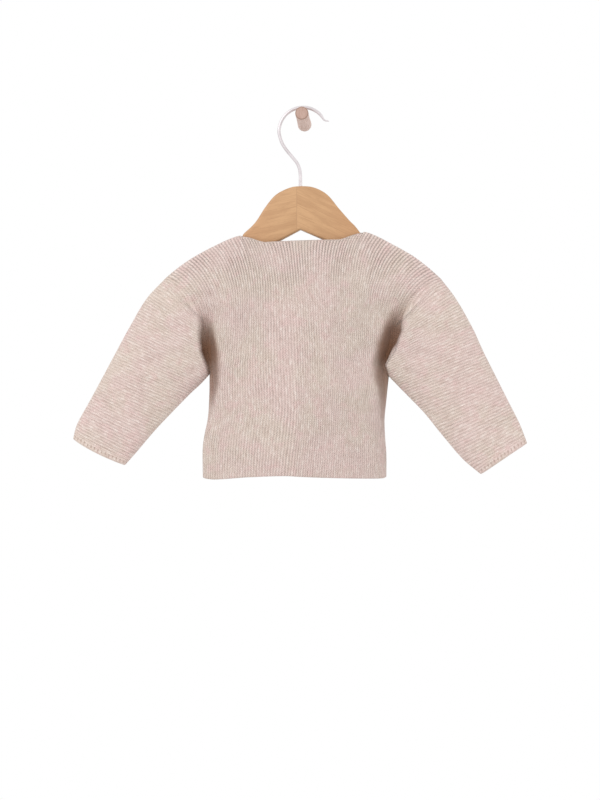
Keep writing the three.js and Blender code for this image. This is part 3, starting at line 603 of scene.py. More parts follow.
def bodyPiece(name, panel, w, replaced):
    topZ = columnTopZ(w)
    start = panel["neckDrop"](w)
    height = topZ - hemZ(w)
    share = rowPlaces(bodyPieces["rows"], bodyPieces["turnRows"])[:, None]
    drop = start + (height - start) * share
    wide = np.broadcast_to(w, drop.shape)
    flat, paintedFoldShade, fold = bodySurface(panel, wide, drop, topZ)
    normal = gridNormals(flat)
    normal = normal * np.where(np.mean(normal[..., 1]) * panel["face"] < 0, -1, 1)
    # at the side seams and deep in the folds the cloth turns edge on, and at the ridge it faces up
    down = np.gradient(flat, axis=0)
    sideways = unit(np.stack([-down[..., 2], 0 * down[..., 1], down[..., 0]], -1)) * np.sign(wide)[..., None]
    turned = (np.abs(wide) >= 1) * smooth((7 - fold) / 3)
    normal = unit(mix(normal, sideways, turned[..., None]))
    slope = (ridgeZ(flat[..., 0] + 1) - ridgeZ(flat[..., 0] - 1)) / 2
    upward = unit(np.stack([-slope, 0 * slope, 1 + 0 * slope], -1))
    fall = np.clip(drop / cloth["topRound"], 0.001, 1)
    steep = (1 - fall) ** 1.6 * (1 - (1 - fall) ** 2.6) ** -0.6
    rolled = unit(upward * steep[..., None] + np.array([0.0, panel["face"], 0.0]))
    corner = smooth((np.abs(wide) - 0.9) / 0.05) * (1 - smooth((drop - 4) / 6))
    normal = unit(mix(normal, rolled, corner[..., None]))
    normal = np.where(((drop <= 0) & (start == 0))[..., None], upward, normal)
    # ridges by the length round each row, from the middle to each side
    level = flat + np.stack([0 * drop, 0 * drop, start * (1 - share)], -1)
    steps = np.linalg.norm(np.diff(level, axis=1), axis=-1)
    arc = np.concatenate([np.zeros((len(drop), 1)), np.cumsum(steps, 1)], 1)
    zero = np.array([np.interp(0, w, row) for row in arc])[:, None]
    arc = arc - zero
    count, seamFade = np.zeros_like(arc), np.ones_like(arc)
    for sign, sleeve in sleeves.items():
        side = w * sign > 0
        if not side.any() or abs(w[side]).max() < 0.9:
            edge, gone = np.full((len(drop), 1), 105.0), 1.0
        else:
            edge = np.abs(arc[:, -1:] if sign > 0 else arc[:, :1])
            gone = armholeShare(sleeve, flat[:, -1:, 2] if sign > 0 else flat[:, :1, 2])
        part = np.abs(arc) / edge
        crowd = mix(cloth["shoulderCrowding"], cloth["ridgeCrowding"], gone)
        ridges = mix(cloth["shoulderRidges"], cloth["ridges"], gone)
        even = sign * ridges * (part * (1 - crowd) + crowd * part ** 2)
        skew = shiftX(flat[..., 2]) * np.maximum(1 - part, 0) * cloth["ridges"] / edge
        seamFade = np.where(side[None, :], smooth(np.abs(edge - np.abs(arc)) / 2), seamFade)
        count = np.where(side[None, :] | (w == 0)[None, :], even - skew, count)
    perStep = np.abs(np.gradient(count, axis=0))
    wave = ridgeWave(count, perStep)
    edgeFade = np.where(start > 0, smooth(np.arange(len(drop))[:, None] / 3), 1) * seamFade
    outer = flat + normal * (wave * edgeFade * cloth["ridgeHeight"])[..., None]
    inner = flat - normal * wall + normal * (wave * 0.4 * cloth["ridgeHeight"])[..., None]
    face = panel["face"]
    for points in (outer, inner):
        points[..., 1] = hangY + face * np.maximum(face * (points[..., 1] - hangY), cloth["halfGap"])
    bulgeTop = np.where(start > 0, 1.0, 0.0)[:, None]
    rim = cloth["rimSteps"]
    loop = closedLoop(outer, inner, 0.9, bulgeTop, rim)
    stitches = (flat[..., 2] - hemZ(w)) / cloth["stitch"]
    u, v, paintedFoldShades = looped(count), looped(stitches), looped(paintedFoldShade)
    rows, columns = loop.shape[:2]
    faces = gridFaces(rows, columns, closedRows=True)
    points = loop.reshape(-1, 3)
    if face > 0:
        faces = faces[:, ::-1]
    # the two ends: strips between the outer face and the inner one
    count0 = len(drop)
    r = np.arange(count0 - 1)
    mate = (count0 + rim + (count0 - 1 - np.arange(count0)))
    caps = []
    for column, isLast in ((0, False), (columns - 1, True)):
        a, b = r * columns + column, (r + 1) * columns + column
        c, d = mate[r + 1] * columns + column, mate[r] * columns + column
        strip = np.stack([a, b, c, d], -1)
        caps.append(strip if isLast != (face > 0) else strip[:, ::-1])
    faces = np.concatenate([faces, *caps])
    lowRim = [count0 - 1] + list(range(count0, count0 + rim)) + [count0 + rim]
    topRim = [2 * count0 + rim - 1] + list(range(2 * count0 + rim, 2 * count0 + 2 * rim)) + [0]
    ends = []
    for column, isLast in ((0, False), (columns - 1, True)):
        for line in (lowRim, topRim):
            polygon = [k * columns + column for k in line]
            ends.append(polygon if isLast == (face > 0) else polygon[::-1])
    uvAll = np.stack([u.reshape(-1), v.reshape(-1)], -1)
    loops = np.concatenate([faces.reshape(-1)] + [np.array(p) for p in ends])
    isSmooth = np.ones((rows, columns - 1), bool)
    isSmooth[2 * count0 + rim - 1:, (start[1:] == 0) & (start[:-1] == 0)] = False
    isSmooth = np.concatenate([isSmooth.reshape(-1), np.zeros(len(faces) - isSmooth.size + len(ends), bool)])
    piece = newPiece(name, points, faces.tolist() + ends, knit["body"], replaced, uvAll[loops],
                     paintedFoldShades.reshape(-1), isSmooth)
    return piece, outer, inner, start


middleOut = columnPlaces(cloth["ridges"], bodyPieces["perRidge"])
backPanel = {"kind": "back", "face": -1, "neckDrop": backNeck, "lift": lambda w: 0 * w}
backColumns = np.concatenate([-middleOut[:0:-1], middleOut])
back = bodyPiece("back_knit", backPanel, backColumns, ["back"])
fronts = {}
for sign, sleeve in sleeves.items():
    panel = {"kind": "front", "face": 1, "neckDrop": frontNeck(sign), "lift": frontLift(sign)}
    over = np.linspace(-cloth["overlapShare"], 0, 20)[:-1]
    columns = np.concatenate([over, middleOut]) * sign
    columns = np.sort(columns)
    label = "front_" + sleeve["name"]
    fronts[sign] = bodyPiece(label + "_knit", panel, columns, [label])
print("body panels made")


# Bound edges: an oval chain of stitches along the back of the neck, and one down each V and front edge

bandLook = {"across": 1.3, "away": 0.85, "scallop": 0.07, "around": 14, "perStitch": 5, "end": 1.2}


def bandPiece(name, outer, inner):  # an oval carried along the middle of the wall's edge, with rounded ends
    look = bandLook
    path = np.concatenate([(outer + inner) / 2, unit(outer - inner)], -1)
    length = np.linalg.norm(np.diff(path[:, :3], axis=0), axis=-1).sum()
    path = resample(path, int(length / cloth["stitch"] * look["perStitch"]))
    middle, run = path[:, :3], np.linspace(0, length, len(path))
    tangent = unit(np.gradient(middle, axis=0))
    away = unit(np.cross(tangent, path[:, 3:]))
    across = np.cross(away, tangent)
    chain = run / cloth["stitch"]
    end = 1 - np.clip(np.minimum(run, length - run) / look["end"], 0, 1)
    size = np.sqrt(1 - end ** 2 * 0.998) * (1 + look["scallop"] * np.cos(2 * math.pi * chain))
    angles = np.arange(look["around"]) / look["around"] * 2 * math.pi
    ring = np.cos(angles)[None, :, None] * look["across"] * across[:, None]
    ring = ring + np.sin(angles)[None, :, None] * look["away"] * away[:, None]
    points = middle[:, None] + ring * size[:, None, None]
    faces = tubeFaces(points)
    uv = np.stack(np.broadcast_arrays(angles[None, :] / math.pi, chain[:, None]), -1).reshape(-1, 2)
    return newPiece(name, points.reshape(-1, 3), faces, knit["band"], (), uv[np.concatenate(faces)],
                    np.zeros(len(uv)))


def backBand():
    _, outer, inner, start = back
    isNeck = start > 0
    return bandPiece("neck_band", outer[0, isNeck], inner[0, isNeck])


def frontBand(sign):
    _, outer, inner, start = fronts[sign]
    if sign < 0:
        outer, inner, start = outer[:, ::-1], inner[:, ::-1], start[::-1]
    isNeck = start > 0
    lines = [np.concatenate([wallSide[0, isNeck][::-1], wallSide[1:, 0]]) for wallSide in (outer, inner)]
    return bandPiece("front_band_" + sleeves[sign]["name"], *lines)


neckBand = backBand()
frontBands = {sign: frontBand(sign) for sign in sleeves}
print("edge bands made")


# The sleeves: closed tubes whose rings run on from the armhole to the cuff

sleevePieces = {"rings": 348, "around": 132, "cuffRings": 14}


def sleeveSurface(sleeve, along, angle):  # a superellipse about each section's chord, out from the fold
    cos = np.cos(angle)
    share = (1 - np.sign(cos) * np.abs(cos) ** (2 / cloth["sleeveExponent"])) / 2
    x, z, full = sleeveLine(sleeve, along, share)
    armX, armZ, _ = sleeveLine(sleeve, 0.0 * along, share)
    over = rounded((ridgeZ(armX) - armZ) / cloth["topRound"], turnExponent(armX))
    edge = foldAt(share) * over
    ball = np.abs(np.sin(angle)) ** (2 / cloth["sleeveExponent"]) * full
    lip, dark = sleeve["foldCurves"]["lip"](armZ), sleeve["foldCurves"]["dark"](armZ)
    far = np.hypot(x - armX, z - armZ)
    stand = np.maximum(lip, 0)
    inFold = smooth((share - 0.3) / 0.25)
    rise = mix(smooth(along / cloth["sleeveRise"]), smooth((far - stand) / cloth["foldRise"]), inFold)
    depth = mix(edge, ball, rise)
    lap = np.maximum(-lip, 0) * smooth(far / 1.5) * (1 - smooth((far - 1.5) / 14)) * inFold
    crease = creaseDepth(creases["sleeve"], np.abs(x) - 4 * (sleeve["sign"] < 0), z)
    depth = depth - crease * np.clip(ball / 10, 0, 1) * rise
    # painted shade for the underarm fold: dark at this height, fading away from the armhole's lip
    paintedFoldShade = dark * (1 - smooth((far - stand - 0.3) / 2))
    face = np.where(angle > math.pi, 1, -1)
    return np.stack([x - sleeve["sign"] * lap, hangY + face * depth, z], -1), share, paintedFoldShade, far


def sleeveRidges(sleeve, points, along, share):
    # ridge lines cross the sleeve at a lean that changes with the run down its upper edge
    topX, topZ = sleeve["topPoint"]
    sign = sleeve["sign"]
    sections = sleeve["sections"]
    runX, runZ = sections["topX"][-1] - topX, sections["topZ"][-1] - topZ
    length = math.hypot(runX, runZ)
    axisX, axisZ = runX / length, runZ / length
    offX, offZ = points[..., 0] - topX, points[..., 2] - topZ
    run = offX * axisX + offZ * axisZ
    for _ in range(8):
        lean = np.radians(sleeve["leanAt"](run))
        nX, nZ = sign * np.sin(lean), -np.cos(lean)
        miss = (offX - run * axisX) * nX + (offZ - run * axisZ) * nZ
        run = run + miss / (axisX * nX + axisZ * nZ)
    count = cloth["shoulderRidges"] + run / cloth["sleeveRidge"]
    body = mix(cloth["shoulderRidges"], cloth["ridges"], armholeShare(sleeve, points[:1, :, 2]))
    near = (1 - smooth(along / 0.14)) * (1 - smooth((share - 0.3) / 0.25))
    return count + (body - count[:1]) * near


def tubePiece(name, sleeve, rings, lift, kind, replaced):
    angles = np.arange(sleevePieces["around"]) / sleevePieces["around"] * 2 * math.pi
    along, angle = np.meshgrid(rings, angles, indexing="ij")
    flat, share, paintedFoldShade, far = sleeveSurface(sleeve, along, angle)
    normal = gridNormals(flat, True)
    outward = flat - flat.mean(1, keepdims=True)
    if (normal * outward).sum() < 0:
        normal = -normal
    edges = [0, sleevePieces["around"] // 2]
    normal[:, edges, 1] = 0
    normal = unit(normal)
    if kind == "cuff":  # its rows run round it, counted from its end
        steps = np.linalg.norm(np.diff(flat, axis=0), axis=-1)[::-1]
        count = np.concatenate([np.zeros((1, len(angles))), np.cumsum(steps, 0)])[::-1] / cloth["sleeveRidge"]
    else:
        count = sleeveRidges(sleeve, flat, along, share)
    perStep = np.abs((np.roll(count, -1, 1) - np.roll(count, 1, 1)) / 2)
    wave = ridgeWave(count, perStep) * (smooth(far / 1.5) if kind == "sleeve" else 0.5)
    outer = flat + normal * (wave * cloth["sleeveRidgeHeight"] + lift)[..., None]
    inner = flat - normal * (wall - 0.4 * cloth["sleeveRidgeHeight"] * wave)[..., None]
    face = np.where(angle > math.pi, 1, -1)
    for points in (outer, inner):
        away = face * (points[..., 1] - hangY)
        points[..., 1] = np.where(np.isin(np.arange(len(angles)), edges)[None, :], points[..., 1],
                                  hangY + face * np.maximum(away, 0.1))
    loop = closedLoop(outer, inner, 0.8, 0.0, cloth["rimSteps"])
    steps = np.linalg.norm(np.diff(flat, axis=1), axis=-1)
    arc = np.concatenate([np.zeros((len(rings), 1)), np.cumsum(steps, 1)], 1)
    half = sleevePieces["around"] // 2
    top = arc[:, half:half + 1]
    stitches = np.where(angle > math.pi, 2 * top - arc, arc) / cloth["stitch"]
    u, v, paintedFoldShades = looped(count), looped(stitches), looped(paintedFoldShade)
    rows, columns = loop.shape[:2]
    faces = gridFaces(rows, columns, closedRows=True, closedColumns=True)
    if fanVolume(loop.reshape(-1, 3), faces) < 0:
        faces = faces[:, ::-1]
    uvAll = np.stack([u.reshape(-1), v.reshape(-1)], -1)
    isSmooth = np.repeat(np.arange(rows) < 2 * len(rings) + 2, columns)
    return newPiece(name, loop.reshape(-1, 3), faces, knit[kind], replaced, uvAll[faces.reshape(-1)],
                    paintedFoldShades.reshape(-1), isSmooth)


sleevePiecesMade = {}
for sign, sleeve in sleeves.items():
    early = np.linspace(0, 1, 30) ** 1.7 * 0.06
    rest = np.linspace(0.06, cloth["cuffStart"], sleevePieces["rings"] - 29)[1:]
    label = sleeve["name"]
    arm = tubePiece("sleeve_" + label + "_knit", sleeve, np.concatenate([early, rest]), 0.0, "sleeve",
                    ["sleeve_" + label])
    cuffRings = np.linspace(cloth["cuffStart"] + 0.0012, 1, sleevePieces["cuffRings"])
    cuff = tubePiece("cuff_" + label + "_knit", sleeve, cuffRings, cloth["cuffRaise"], "cuff",
                     ["cuff_" + label])
    sleevePiecesMade[sign] = (arm, cuff)
print("sleeves made")


# Wood, wire and peg

hanger = {
    "thick": 11.0, "round": 2.7, "below": 3.1, "armEnd": 117, "armTip": 122, "points": 150,
    "crown": {-1: [65, 62.2, 53.7, 47.7, 39.7, 29.5, 19.6, 10, 0.6],
              1: [64.4, 61.4, 55.5, 48.7, 37.8, 27.5, 18.5, 9, -0.6],
              "z": [-131, -124.6, -116.6, -109.7, -97.1, -84.5, -78.3, -74.9, -74.2]},
    "under": {"x": [116, 90, 61, 40, 21.5], "z": [-167, -159.5, -149.5, -140, -130.4]},
    "notch": (-2.0, -120.0), "glueX": -5.8,
    "light": (0.545, 0.318, 0.158, 1), "dark": (0.375, 0.195, 0.088, 1), "warm": (0.50, 0.262, 0.125, 1),
    "glue": (0.30, 0.16, 0.08, 1), "leftLean": 0.2, "rightLean": -0.46,
}


def woodFinish():  # grain lines that lean one way on each half, met at a glue line
    look, f = hanger, Finish("hanger_wood")
    place = f.node("TexCoord", None, None, 3)
    x, y, z = f.split(place)
    glueX = look["glueX"] * mm
    side = f.step(x, glueX - 0.0002, glueX + 0.0002)
    lean = side * look["rightLean"] + (1 - side) * look["leftLean"]
    z = z - x * lean + side * 0.031
    sway = f.noise(place, 14.0, 1.0) - 0.5
    rings = f.noise(f.join(x * 0.16, y * 0.8, z), 210.0, 3.0, 0.55)
    line = f.noise(f.join(x * 0.05, y, z + sway * 0.006), 900.0, 2.0, 0.6)
    pores = f.noise(f.join(x * 0.3, y * 2.0, z * 2.0), 1500.0, 2.0)
    colour = f.blend(f.step(rings, 0.36, 0.66) * 0.45, look["light"], look["dark"])
    colour = f.blend(f.step(x.math("ABSOLUTE"), 0.015, 0.06) * 0.5, colour, look["warm"])
    colour = f.blend(f.step(line, 0.52, 0.7) * 0.5, colour, look["dark"])
    colour = f.blend(f.step(pores, 0.6, 0.72) * 0.5, colour, look["dark"])
    seam = (x - glueX).math("ABSOLUTE")
    colour = f.blend(f.step(seam, 0.0005, 0.0001) * 0.4, colour, look["glue"])
    normal = f.bump(line * 0.4 + pores * 0.5 + rings * 0.3, 0.00008)
    return f.finish(colour, 0.46 + rings * 0.12, normal, Coat_Weight=0.12, Coat_Roughness=0.3)


def boardHalf(sign):
    look = hanger
    x = np.arange(look["armEnd"], cloth["neckHalf"] + 4, -10.0)
    slope = (ridgeZ(sign * (x + 1)) - ridgeZ(sign * (x - 1))) / 2
    length = np.hypot(1, slope)
    armX, armZ = sign * (x + look["below"] * slope / length), ridgeZ(sign * x) - look["below"] / length
    arm = np.stack([armX, armZ], -1)
    crown = np.stack([sign * np.array(look["crown"][sign]), look["crown"]["z"]], -1)
    under = np.stack([sign * np.array(look["under"]["x"]), look["under"]["z"]], -1)
    tipZ = (arm[0, 1] + under[0, 1]) / 2
    tip = np.array([[sign * (look["armTip"] - 1.2), tipZ - 4.5], [sign * look["armTip"], tipZ],
                    [sign * (look["armTip"] - 1.2), tipZ + 4]])
    return resample(catmull(np.concatenate([under[::-1], tip, arm, crown]), 14), look["points"])


def boardPiece():
    look = hanger
    left, right = boardHalf(-1), boardHalf(1)[::-1][1:]
    notch = np.array(look["notch"])[None, :]
    inLeg = resample(np.concatenate([right[-1:], notch]), 12)[1:]
    outLeg = resample(np.concatenate([notch, left[:1]]), 12)[1:-1]
    outline = np.concatenate([left, right, inLeg, outLeg])
    tangent = np.roll(outline, -1, 0) - np.roll(outline, 1, 0)
    inward = unit(np.stack([-tangent[:, 1], tangent[:, 0]], -1))
    area = np.sum(outline[:, 0] * np.roll(outline[:, 1], -1) - np.roll(outline[:, 0], -1) * outline[:, 1])
    inward = inward * (1 if area > 0 else -1)
    angles = np.linspace(0, math.pi / 2, 7)
    inset = look["round"] * (1 - np.cos(angles))
    depth = look["thick"] / 2 - look["round"] * (1 - np.sin(angles))
    inset = np.concatenate([inset[::-1], inset])
    depth = np.concatenate([depth[::-1], -depth])
    rings = []
    for pull, y in zip(inset, depth):
        edge = outline + inward * pull
        rings.append(np.stack([edge[:, 0], np.full(len(edge), hangY + y), edge[:, 1]], -1))
    points = np.stack(rings)
    return newPiece("hanger_board", points.reshape(-1, 3), tubeFaces(points), woodFinish(),
                    ["hanger_wood"])


wireLook = {"radius": 1.75, "around": 20, "steps": 220, "sink": 1.2, "tip": (26.4, -5.6), "taper": 15.0,
            "tipShare": 0.38, "light": (0.70, 0.655, 0.67, 1), "dark": (0.62, 0.575, 0.59, 1)}
hookLoop = {"x": 0.5, "radius": 25.2, "from": 184, "to": 28, "points": 11}
hookStem = {"x": [-2.1, -2.5, -5, -11, -16.6, -21.7], "z": [-73, -59.5, -50.9, -42.9, -36.2, -28.1]}
pegLook = {
    "radius": 6.9, "length": 75.0, "edge": 1.3, "around": 72, "rows": 60, "gap": 0.3,
    "light": (0.62, 0.46, 0.40, 1), "dark": (0.47, 0.31, 0.25, 1), "sawn": (0.72, 0.64, 0.60, 1),
    # line is painted shade, the dark ring on the rounded edge round the end
    "line": (0.22, 0.12, 0.08, 1), "wallRadius": 7.4,
}


def tubeAlong(path, radius, around):  # circles about a path in the plane of the hanger
    tangent = unit(np.gradient(path, axis=0))
    side = np.array([0.0, 1.0, 0.0])
    up = np.cross(tangent, side)
    angles = np.linspace(0, 2 * math.pi, around, endpoint=False)[None, :, None]
    ring = np.cos(angles) * side + np.sin(angles) * up[:, None, :]
    return path[:, None, :] + ring * np.reshape(radius, (-1, 1, 1))


def roundEnds(path, radius, steps=6):  # the radius shrinks to a point at both ends, as on a ball
    tangent = unit(np.gradient(path, axis=0))
    t = np.linspace(0, math.pi / 2, steps + 1)[1:]
    ends = [path[-1] + tangent[-1] * radius * math.sin(a) for a in t]
    starts = [path[0] - tangent[0] * radius * math.sin(a) for a in t[::-1]]
    full = np.concatenate([starts, path, ends])
    size = np.concatenate([np.cos(t[::-1]), np.ones(len(path)), np.cos(t)]) * radius
    return full, np.maximum(size, 0.02)


def wireFinish():
    f = Finish("satin_wire")
    place = f.node("TexCoord", None, None, 3)
    haze = f.noise(place, 900.0, 3.0, 0.6)
    marks = f.noise(place, 70.0, 2.0)
    colour = f.blend(f.step(marks, 0.35, 0.7), wireLook["light"], wireLook["dark"])
    return f.finish(colour, 0.36 + haze * 0.1, f.bump(haze, 0.000008), Metallic=0.6)


def hookPiece():
    loopZ = pegLook["radius"] + pegLook["gap"] + wireLook["radius"] - hookLoop["radius"]
    angles = np.radians(np.linspace(hookLoop["from"], hookLoop["to"], hookLoop["points"]))
    loop = np.stack([hookLoop["x"] + hookLoop["radius"] * np.cos(angles),
                     loopZ + hookLoop["radius"] * np.sin(angles)], -1)
    foot = np.array([[hookStem["x"][0], hanger["crown"]["z"][-1] - wireLook["sink"]]])
    stem = np.stack([hookStem["x"], hookStem["z"]], -1)
    flat = resample(catmull(np.concatenate([foot, stem, loop, [wireLook["tip"]]]), 20), wireLook["steps"])
    path = np.stack([flat[:, 0], np.full(len(flat), hangY), flat[:, 1]], -1)
    path, radius = roundEnds(path, wireLook["radius"])
    fromTip = np.linalg.norm(path - path[-1], axis=-1)
    radius = radius * mix(wireLook["tipShare"], 1, smooth(fromTip / wireLook["taper"]))
    points = tubeAlong(path, radius, wireLook["around"])
    return newPiece("hook_wire", points.reshape(-1, 3), tubeFaces(points), wireFinish(),
                    ["hanger_hook"])


def pegFinish():  # rings about the rod's own middle, and a darker sawn end with painted shade as a dark line round its rounded edge
    look, f = pegLook, Finish("peg_wood")
    place = f.node("TexCoord", None, None, 3)
    x, y, z = f.split(place)
    tip = (look["length"] - look["edge"]) * mm
    end = f.step(y * -1.0, tip + 0.0007, tip + 0.0012)
    radius = (x * x + z * z).math("SQRT")
    grain = f.noise(f.join(x, y * 0.06, z * (1 - end * 0.85)), 1300.0, 3.0, 0.6)
    broad = f.noise(f.join(x, y * 0.05, z * (1 - end * 0.85)), 420.0, 2.0)
    colour = f.blend(f.step(broad, 0.35, 0.65) * 0.5, look["light"], look["dark"])
    colour = f.blend(f.step(grain, 0.45, 0.7) * 0.55, colour, look["dark"])
    colour = f.blend(end * 0.8, colour, f.blend(1.0, colour, look["sawn"], "MULTIPLY"))
    # painted shade: a dark ring on the rounded edge round the end
    rim = f.step(radius, (look["radius"] - 1.5) * mm, (look["radius"] - 0.7) * mm)
    line = rim * f.step(y * -1.0, tip, tip + 0.0004)
    colour = f.blend(line * 0.6, colour, look["line"])
    return f.finish(colour, 0.55 + grain * 0.1, f.bump(grain + broad * 0.4, 0.00007))


def pegPiece():
    look = pegLook
    angles = np.linspace(0, math.pi / 2, 8)
    edgeR = look["radius"] - look["edge"] * (1 - np.cos(angles))
    edgeY = look["length"] - look["edge"] * (1 - np.sin(angles))
    rod = mix(look["wallRadius"], look["radius"], smooth(np.linspace(0, 2, look["rows"] // 3)))
    radius = np.concatenate([[0.05], rod, edgeR, [look["radius"] * 0.5, 0.05]])
    along = np.concatenate([[0], np.linspace(0, look["length"] - look["edge"] - 1, look["rows"] // 3), edgeY,
                            [look["length"]] * 2])
    circle = np.linspace(0, 2 * math.pi, look["around"], endpoint=False)
    depth = np.broadcast_to(-along[:, None], (len(along), len(circle)))
    points = np.stack([radius[:, None] * np.cos(circle), depth, radius[:, None] * np.sin(circle)], -1)
    return newPiece("peg_rod", points.reshape(-1, 3), tubeFaces(points), pegFinish(),
                    ["wall_peg"])


board, hook, peg = boardPiece(), hookPiece(), pegPiece()
print("hanger and peg made")


# Buttons down the right front: a dished disc with four holes, and its thread

buttonLook = {
    "z": [-219, -264, -309, -354], "radius": 6.0, "thick": 2.6, "rim": 1.0, "dish": 0.75, "lift": 0.3,
    "holeAt": 1.35, "holeRadius": 0.62, "around": 96, "rings": 44, "threadRadius": 0.28,
    "light": (0.60, 0.46, 0.33, 1), "dark": (0.46, 0.33, 0.22, 1), "thread": (0.58, 0.46, 0.38, 1),
}


def buttonFinish():
    look, f = buttonLook, Finish("button_shell")
    place = f.node("TexCoord", None, None, 3)
    x, y, z = f.split(place)
    cloud = f.noise(place, 260.0, 3.0, 0.55)
    band = f.noise(f.join(x * 0.5, y, z * 2.0), 700.0, 2.0)
    colour = f.blend(f.step(cloud, 0.35, 0.65), look["light"], look["dark"])
    colour = f.blend(f.step(band, 0.5, 0.7) * 0.35, colour, look["dark"])
    return f.finish(colour, 0.28 + cloud * 0.12, f.bump(band, 0.00003), Coat_Weight=0.3, Coat_Roughness=0.15)


def threadFinish():
    look, f = buttonLook, Finish("sewing_thread")
    place = f.node("TexCoord", None, None, 3)
    ply = f.noise(place, 2600.0, 2.0)
    colour = f.blend(ply, look["thread"], (0.42, 0.32, 0.26, 1))
    return f.finish(colour, 0.8, f.bump(ply, 0.00006))


def seatAt(z):  # a point of the right front's middle and the frame of axes on it
    panel = {"kind": "front", "face": 1, "neckDrop": frontNeck(1), "lift": frontLift(1)}
    w = np.array([[-0.03, 0.0, 0.03]] * 3)
    topZ = columnTopZ(w)
    drop = topZ - np.array([[z + 2], [z], [z - 2]])
    points, _, _ = bodySurface(panel, w, drop, topZ)
    right, down = unit(points[1, 2] - points[1, 0]), unit(points[2, 1] - points[0, 1])
    out = unit(np.cross(right, down))
    out = out * (1 if out[1] > 0 else -1)
    up = unit(np.cross(out, right))
    return points[1, 1], right, up, out


def buttonMesh():  # height over a disc: dished inside a rim, with four round holes sunk through its floor
    look = buttonLook
    half = np.linspace(0, 1, look["rings"])
    grow, shrink = look["radius"] * half[:-1] ** 0.9, look["radius"] * half[::-1][1:]
    outR = np.concatenate([grow, [look["radius"]] * 3, shrink])
    isTop = np.arange(len(outR)) < look["rings"]
    angles = np.linspace(0, 2 * math.pi, look["around"], endpoint=False)
    r, a = np.meshgrid(np.maximum(outR, 0.05), angles, indexing="ij")
    inside = look["radius"] - look["rim"] * 1.6
    floor = look["thick"] - look["dish"] * (1 - smooth((r - inside + 1.2) / 1.3))
    edge = look["rim"] * 0.75
    fall = np.clip((r - (look["radius"] - edge)) / edge, 0, 1)
    top = floor - edge * (1 - np.sqrt(1 - fall ** 2 * 0.98))
    bottom = edge * (1 - np.sqrt(1 - fall ** 2 * 0.98)) * 0.7
    x, y = r * np.cos(a), r * np.sin(a)
    for k in range(4):
        t = math.pi / 4 + k * math.pi / 2
        far = np.hypot(x - look["holeAt"] * math.cos(t) * 1.414, y - look["holeAt"] * math.sin(t) * 1.414)
        top = top - 1.1 * (1 - smooth((far - look["holeRadius"] * 0.75) / (look["holeRadius"] * 0.5)))
    height = np.where(isTop[:, None], top, bottom)
    return np.stack([x, y, height], -1)


def buttonPieces():
    look = buttonLook
    shell, thread = buttonFinish(), threadFinish()
    shape = buttonMesh()
    threadPoints, threadFaces, offset = [], [], 0
    for i, z in enumerate(look["z"]):
        seat, right, up, out = seatAt(z)
        axes = np.stack([right, np.cross(out, right), out])
        centre = seat + out * look["lift"]
        name = f"button_{i + 1}"
        disc = centre + shape.reshape(-1, 3) @ axes
        newPiece(name + "_disc", disc, tubeFaces(shape @ axes), shell, [name])
        for k in range(2):
            t = math.pi / 4 + k * math.pi / 2
            reach = look["holeAt"] * 1.414
            share = np.linspace(-1, 1, 15)
            level = look["thick"] - look["dish"] + 0.32 - 0.9 * np.abs(share) ** 4
            path = np.stack([share * reach * math.cos(t), share * reach * math.sin(t), level], -1)
            tangent = unit(np.gradient(path, axis=0))
            sideways = unit(np.cross(tangent, np.array([0, 0, 1.0])))
            over = np.cross(sideways, tangent)
            ring = np.linspace(0, 2 * math.pi, 10, endpoint=False)[None, :, None]
            tube = path[:, None] + look["threadRadius"] * (
                np.cos(ring) * sideways[:, None] * 1.6 + np.sin(ring) * over[:, None])
            threadPoints.append(centre + tube.reshape(-1, 3) @ axes)
            threadFaces += [[n + offset for n in face] for face in tubeFaces(tube @ axes)]
            offset += tube.shape[0] * tube.shape[1]
    newPiece("button_threads", np.concatenate(threadPoints), threadFaces, thread)


buttonPieces()
print("buttons made")


# Each sleeve's arm and cuff pieces, taken in turn

for sign in sleeves:
    arm, cuff = sleevePiecesMade[sign]


# The studio: a plain pale floor, a white surround, a soft key light and the camera

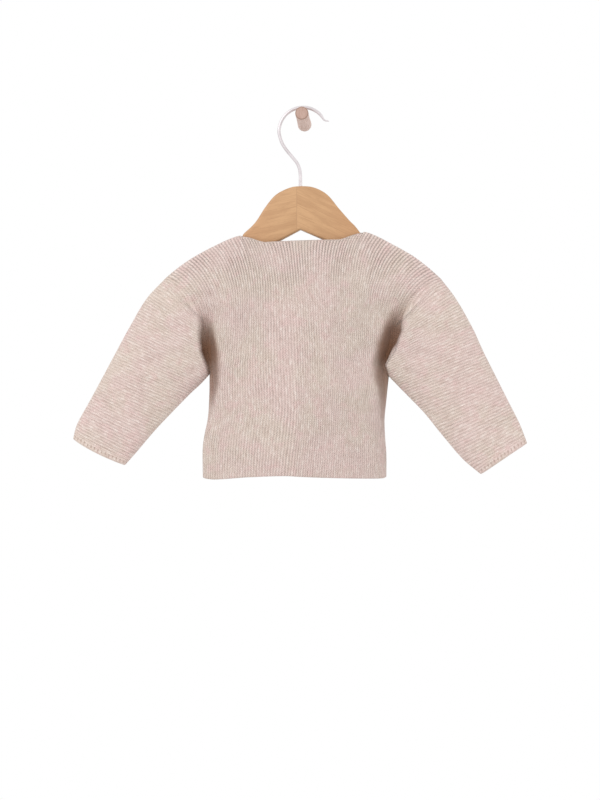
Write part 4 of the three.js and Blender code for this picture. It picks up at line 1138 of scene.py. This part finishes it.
studio = {
    "cameraAt": (0.072, -1.838, -0.2987), "lookAt": (-0.0026, -0.057, -0.2987), "lens": 76.3, "sensor": 36.0,
    "floorZ": -0.9, "floorFrom": -8.0, "floorTo": 0.55, "floorHalf": 6.0, "surround": 1.0,
    "keyAt": (-1.1, -1.5, 0.75), "keySize": 1.1, "keyPower": 13.0,
    "sideAt": (1.5, -0.9, 0.1), "sideSize": 1.0, "sidePower": 4.0,
}


def buildStudio():
    s = studio
    floorMesh = bpy.data.meshes.new("floor")
    h = s["floorHalf"]
    corners = [(-h, s["floorFrom"]), (h, s["floorFrom"]), (h, s["floorTo"]), (-h, s["floorTo"])]
    floorMesh.from_pydata([(x, y, s["floorZ"]) for x, y in corners], [], [(0, 1, 2, 3)])
    floor = bpy.data.objects.new("floor", floorMesh)
    bpy.context.scene.collection.objects.link(floor)
    f = Finish("pale_floor")
    place = f.node("TexCoord", None, None, 3)
    cloud = f.noise(place, 3.0, 2.0)
    floorMesh.materials.append(f.finish(f.blend(cloud, (0.80, 0.79, 0.78, 1), (0.76, 0.75, 0.74, 1)), 0.8))
    world = bpy.data.worlds.new("surround")
    bpy.context.scene.world = world
    world.use_nodes = True
    background = world.node_tree.nodes["Background"]
    background.inputs["Color"].default_value = (1, 1, 1, 1)
    background.inputs["Strength"].default_value = s["surround"]
    target = np.array(s["lookAt"])
    for name in ("key", "side"):
        light = bpy.data.lights.new(name, "AREA")
        light.shape, light.size, light.energy = "DISK", s[name + "Size"], s[name + "Power"]
        holder = bpy.data.objects.new(name, light)
        bpy.context.scene.collection.objects.link(holder)
        aimObject(holder, np.array(s[name + "At"]), target)
    camera = bpy.data.cameras.new("view")
    camera.lens, camera.sensor_width, camera.sensor_fit = s["lens"], s["sensor"], "AUTO"
    camera.clip_start, camera.clip_end = 0.05, 50
    holder = bpy.data.objects.new("view", camera)
    bpy.context.scene.collection.objects.link(holder)
    aimObject(holder, np.array(s["cameraAt"]), target)
    bpy.context.scene.camera = holder
    bpy.context.scene.view_settings.view_transform = "Standard"
    bpy.context.scene.view_settings.look = "None"


def aimObject(holder, place, target):
    holder.location = place
    holder.rotation_euler = Vector(target - place).to_track_quat("-Z", "Y").to_euler()


buildStudio()
print("studio made")

bpy.context.view_layer.update()
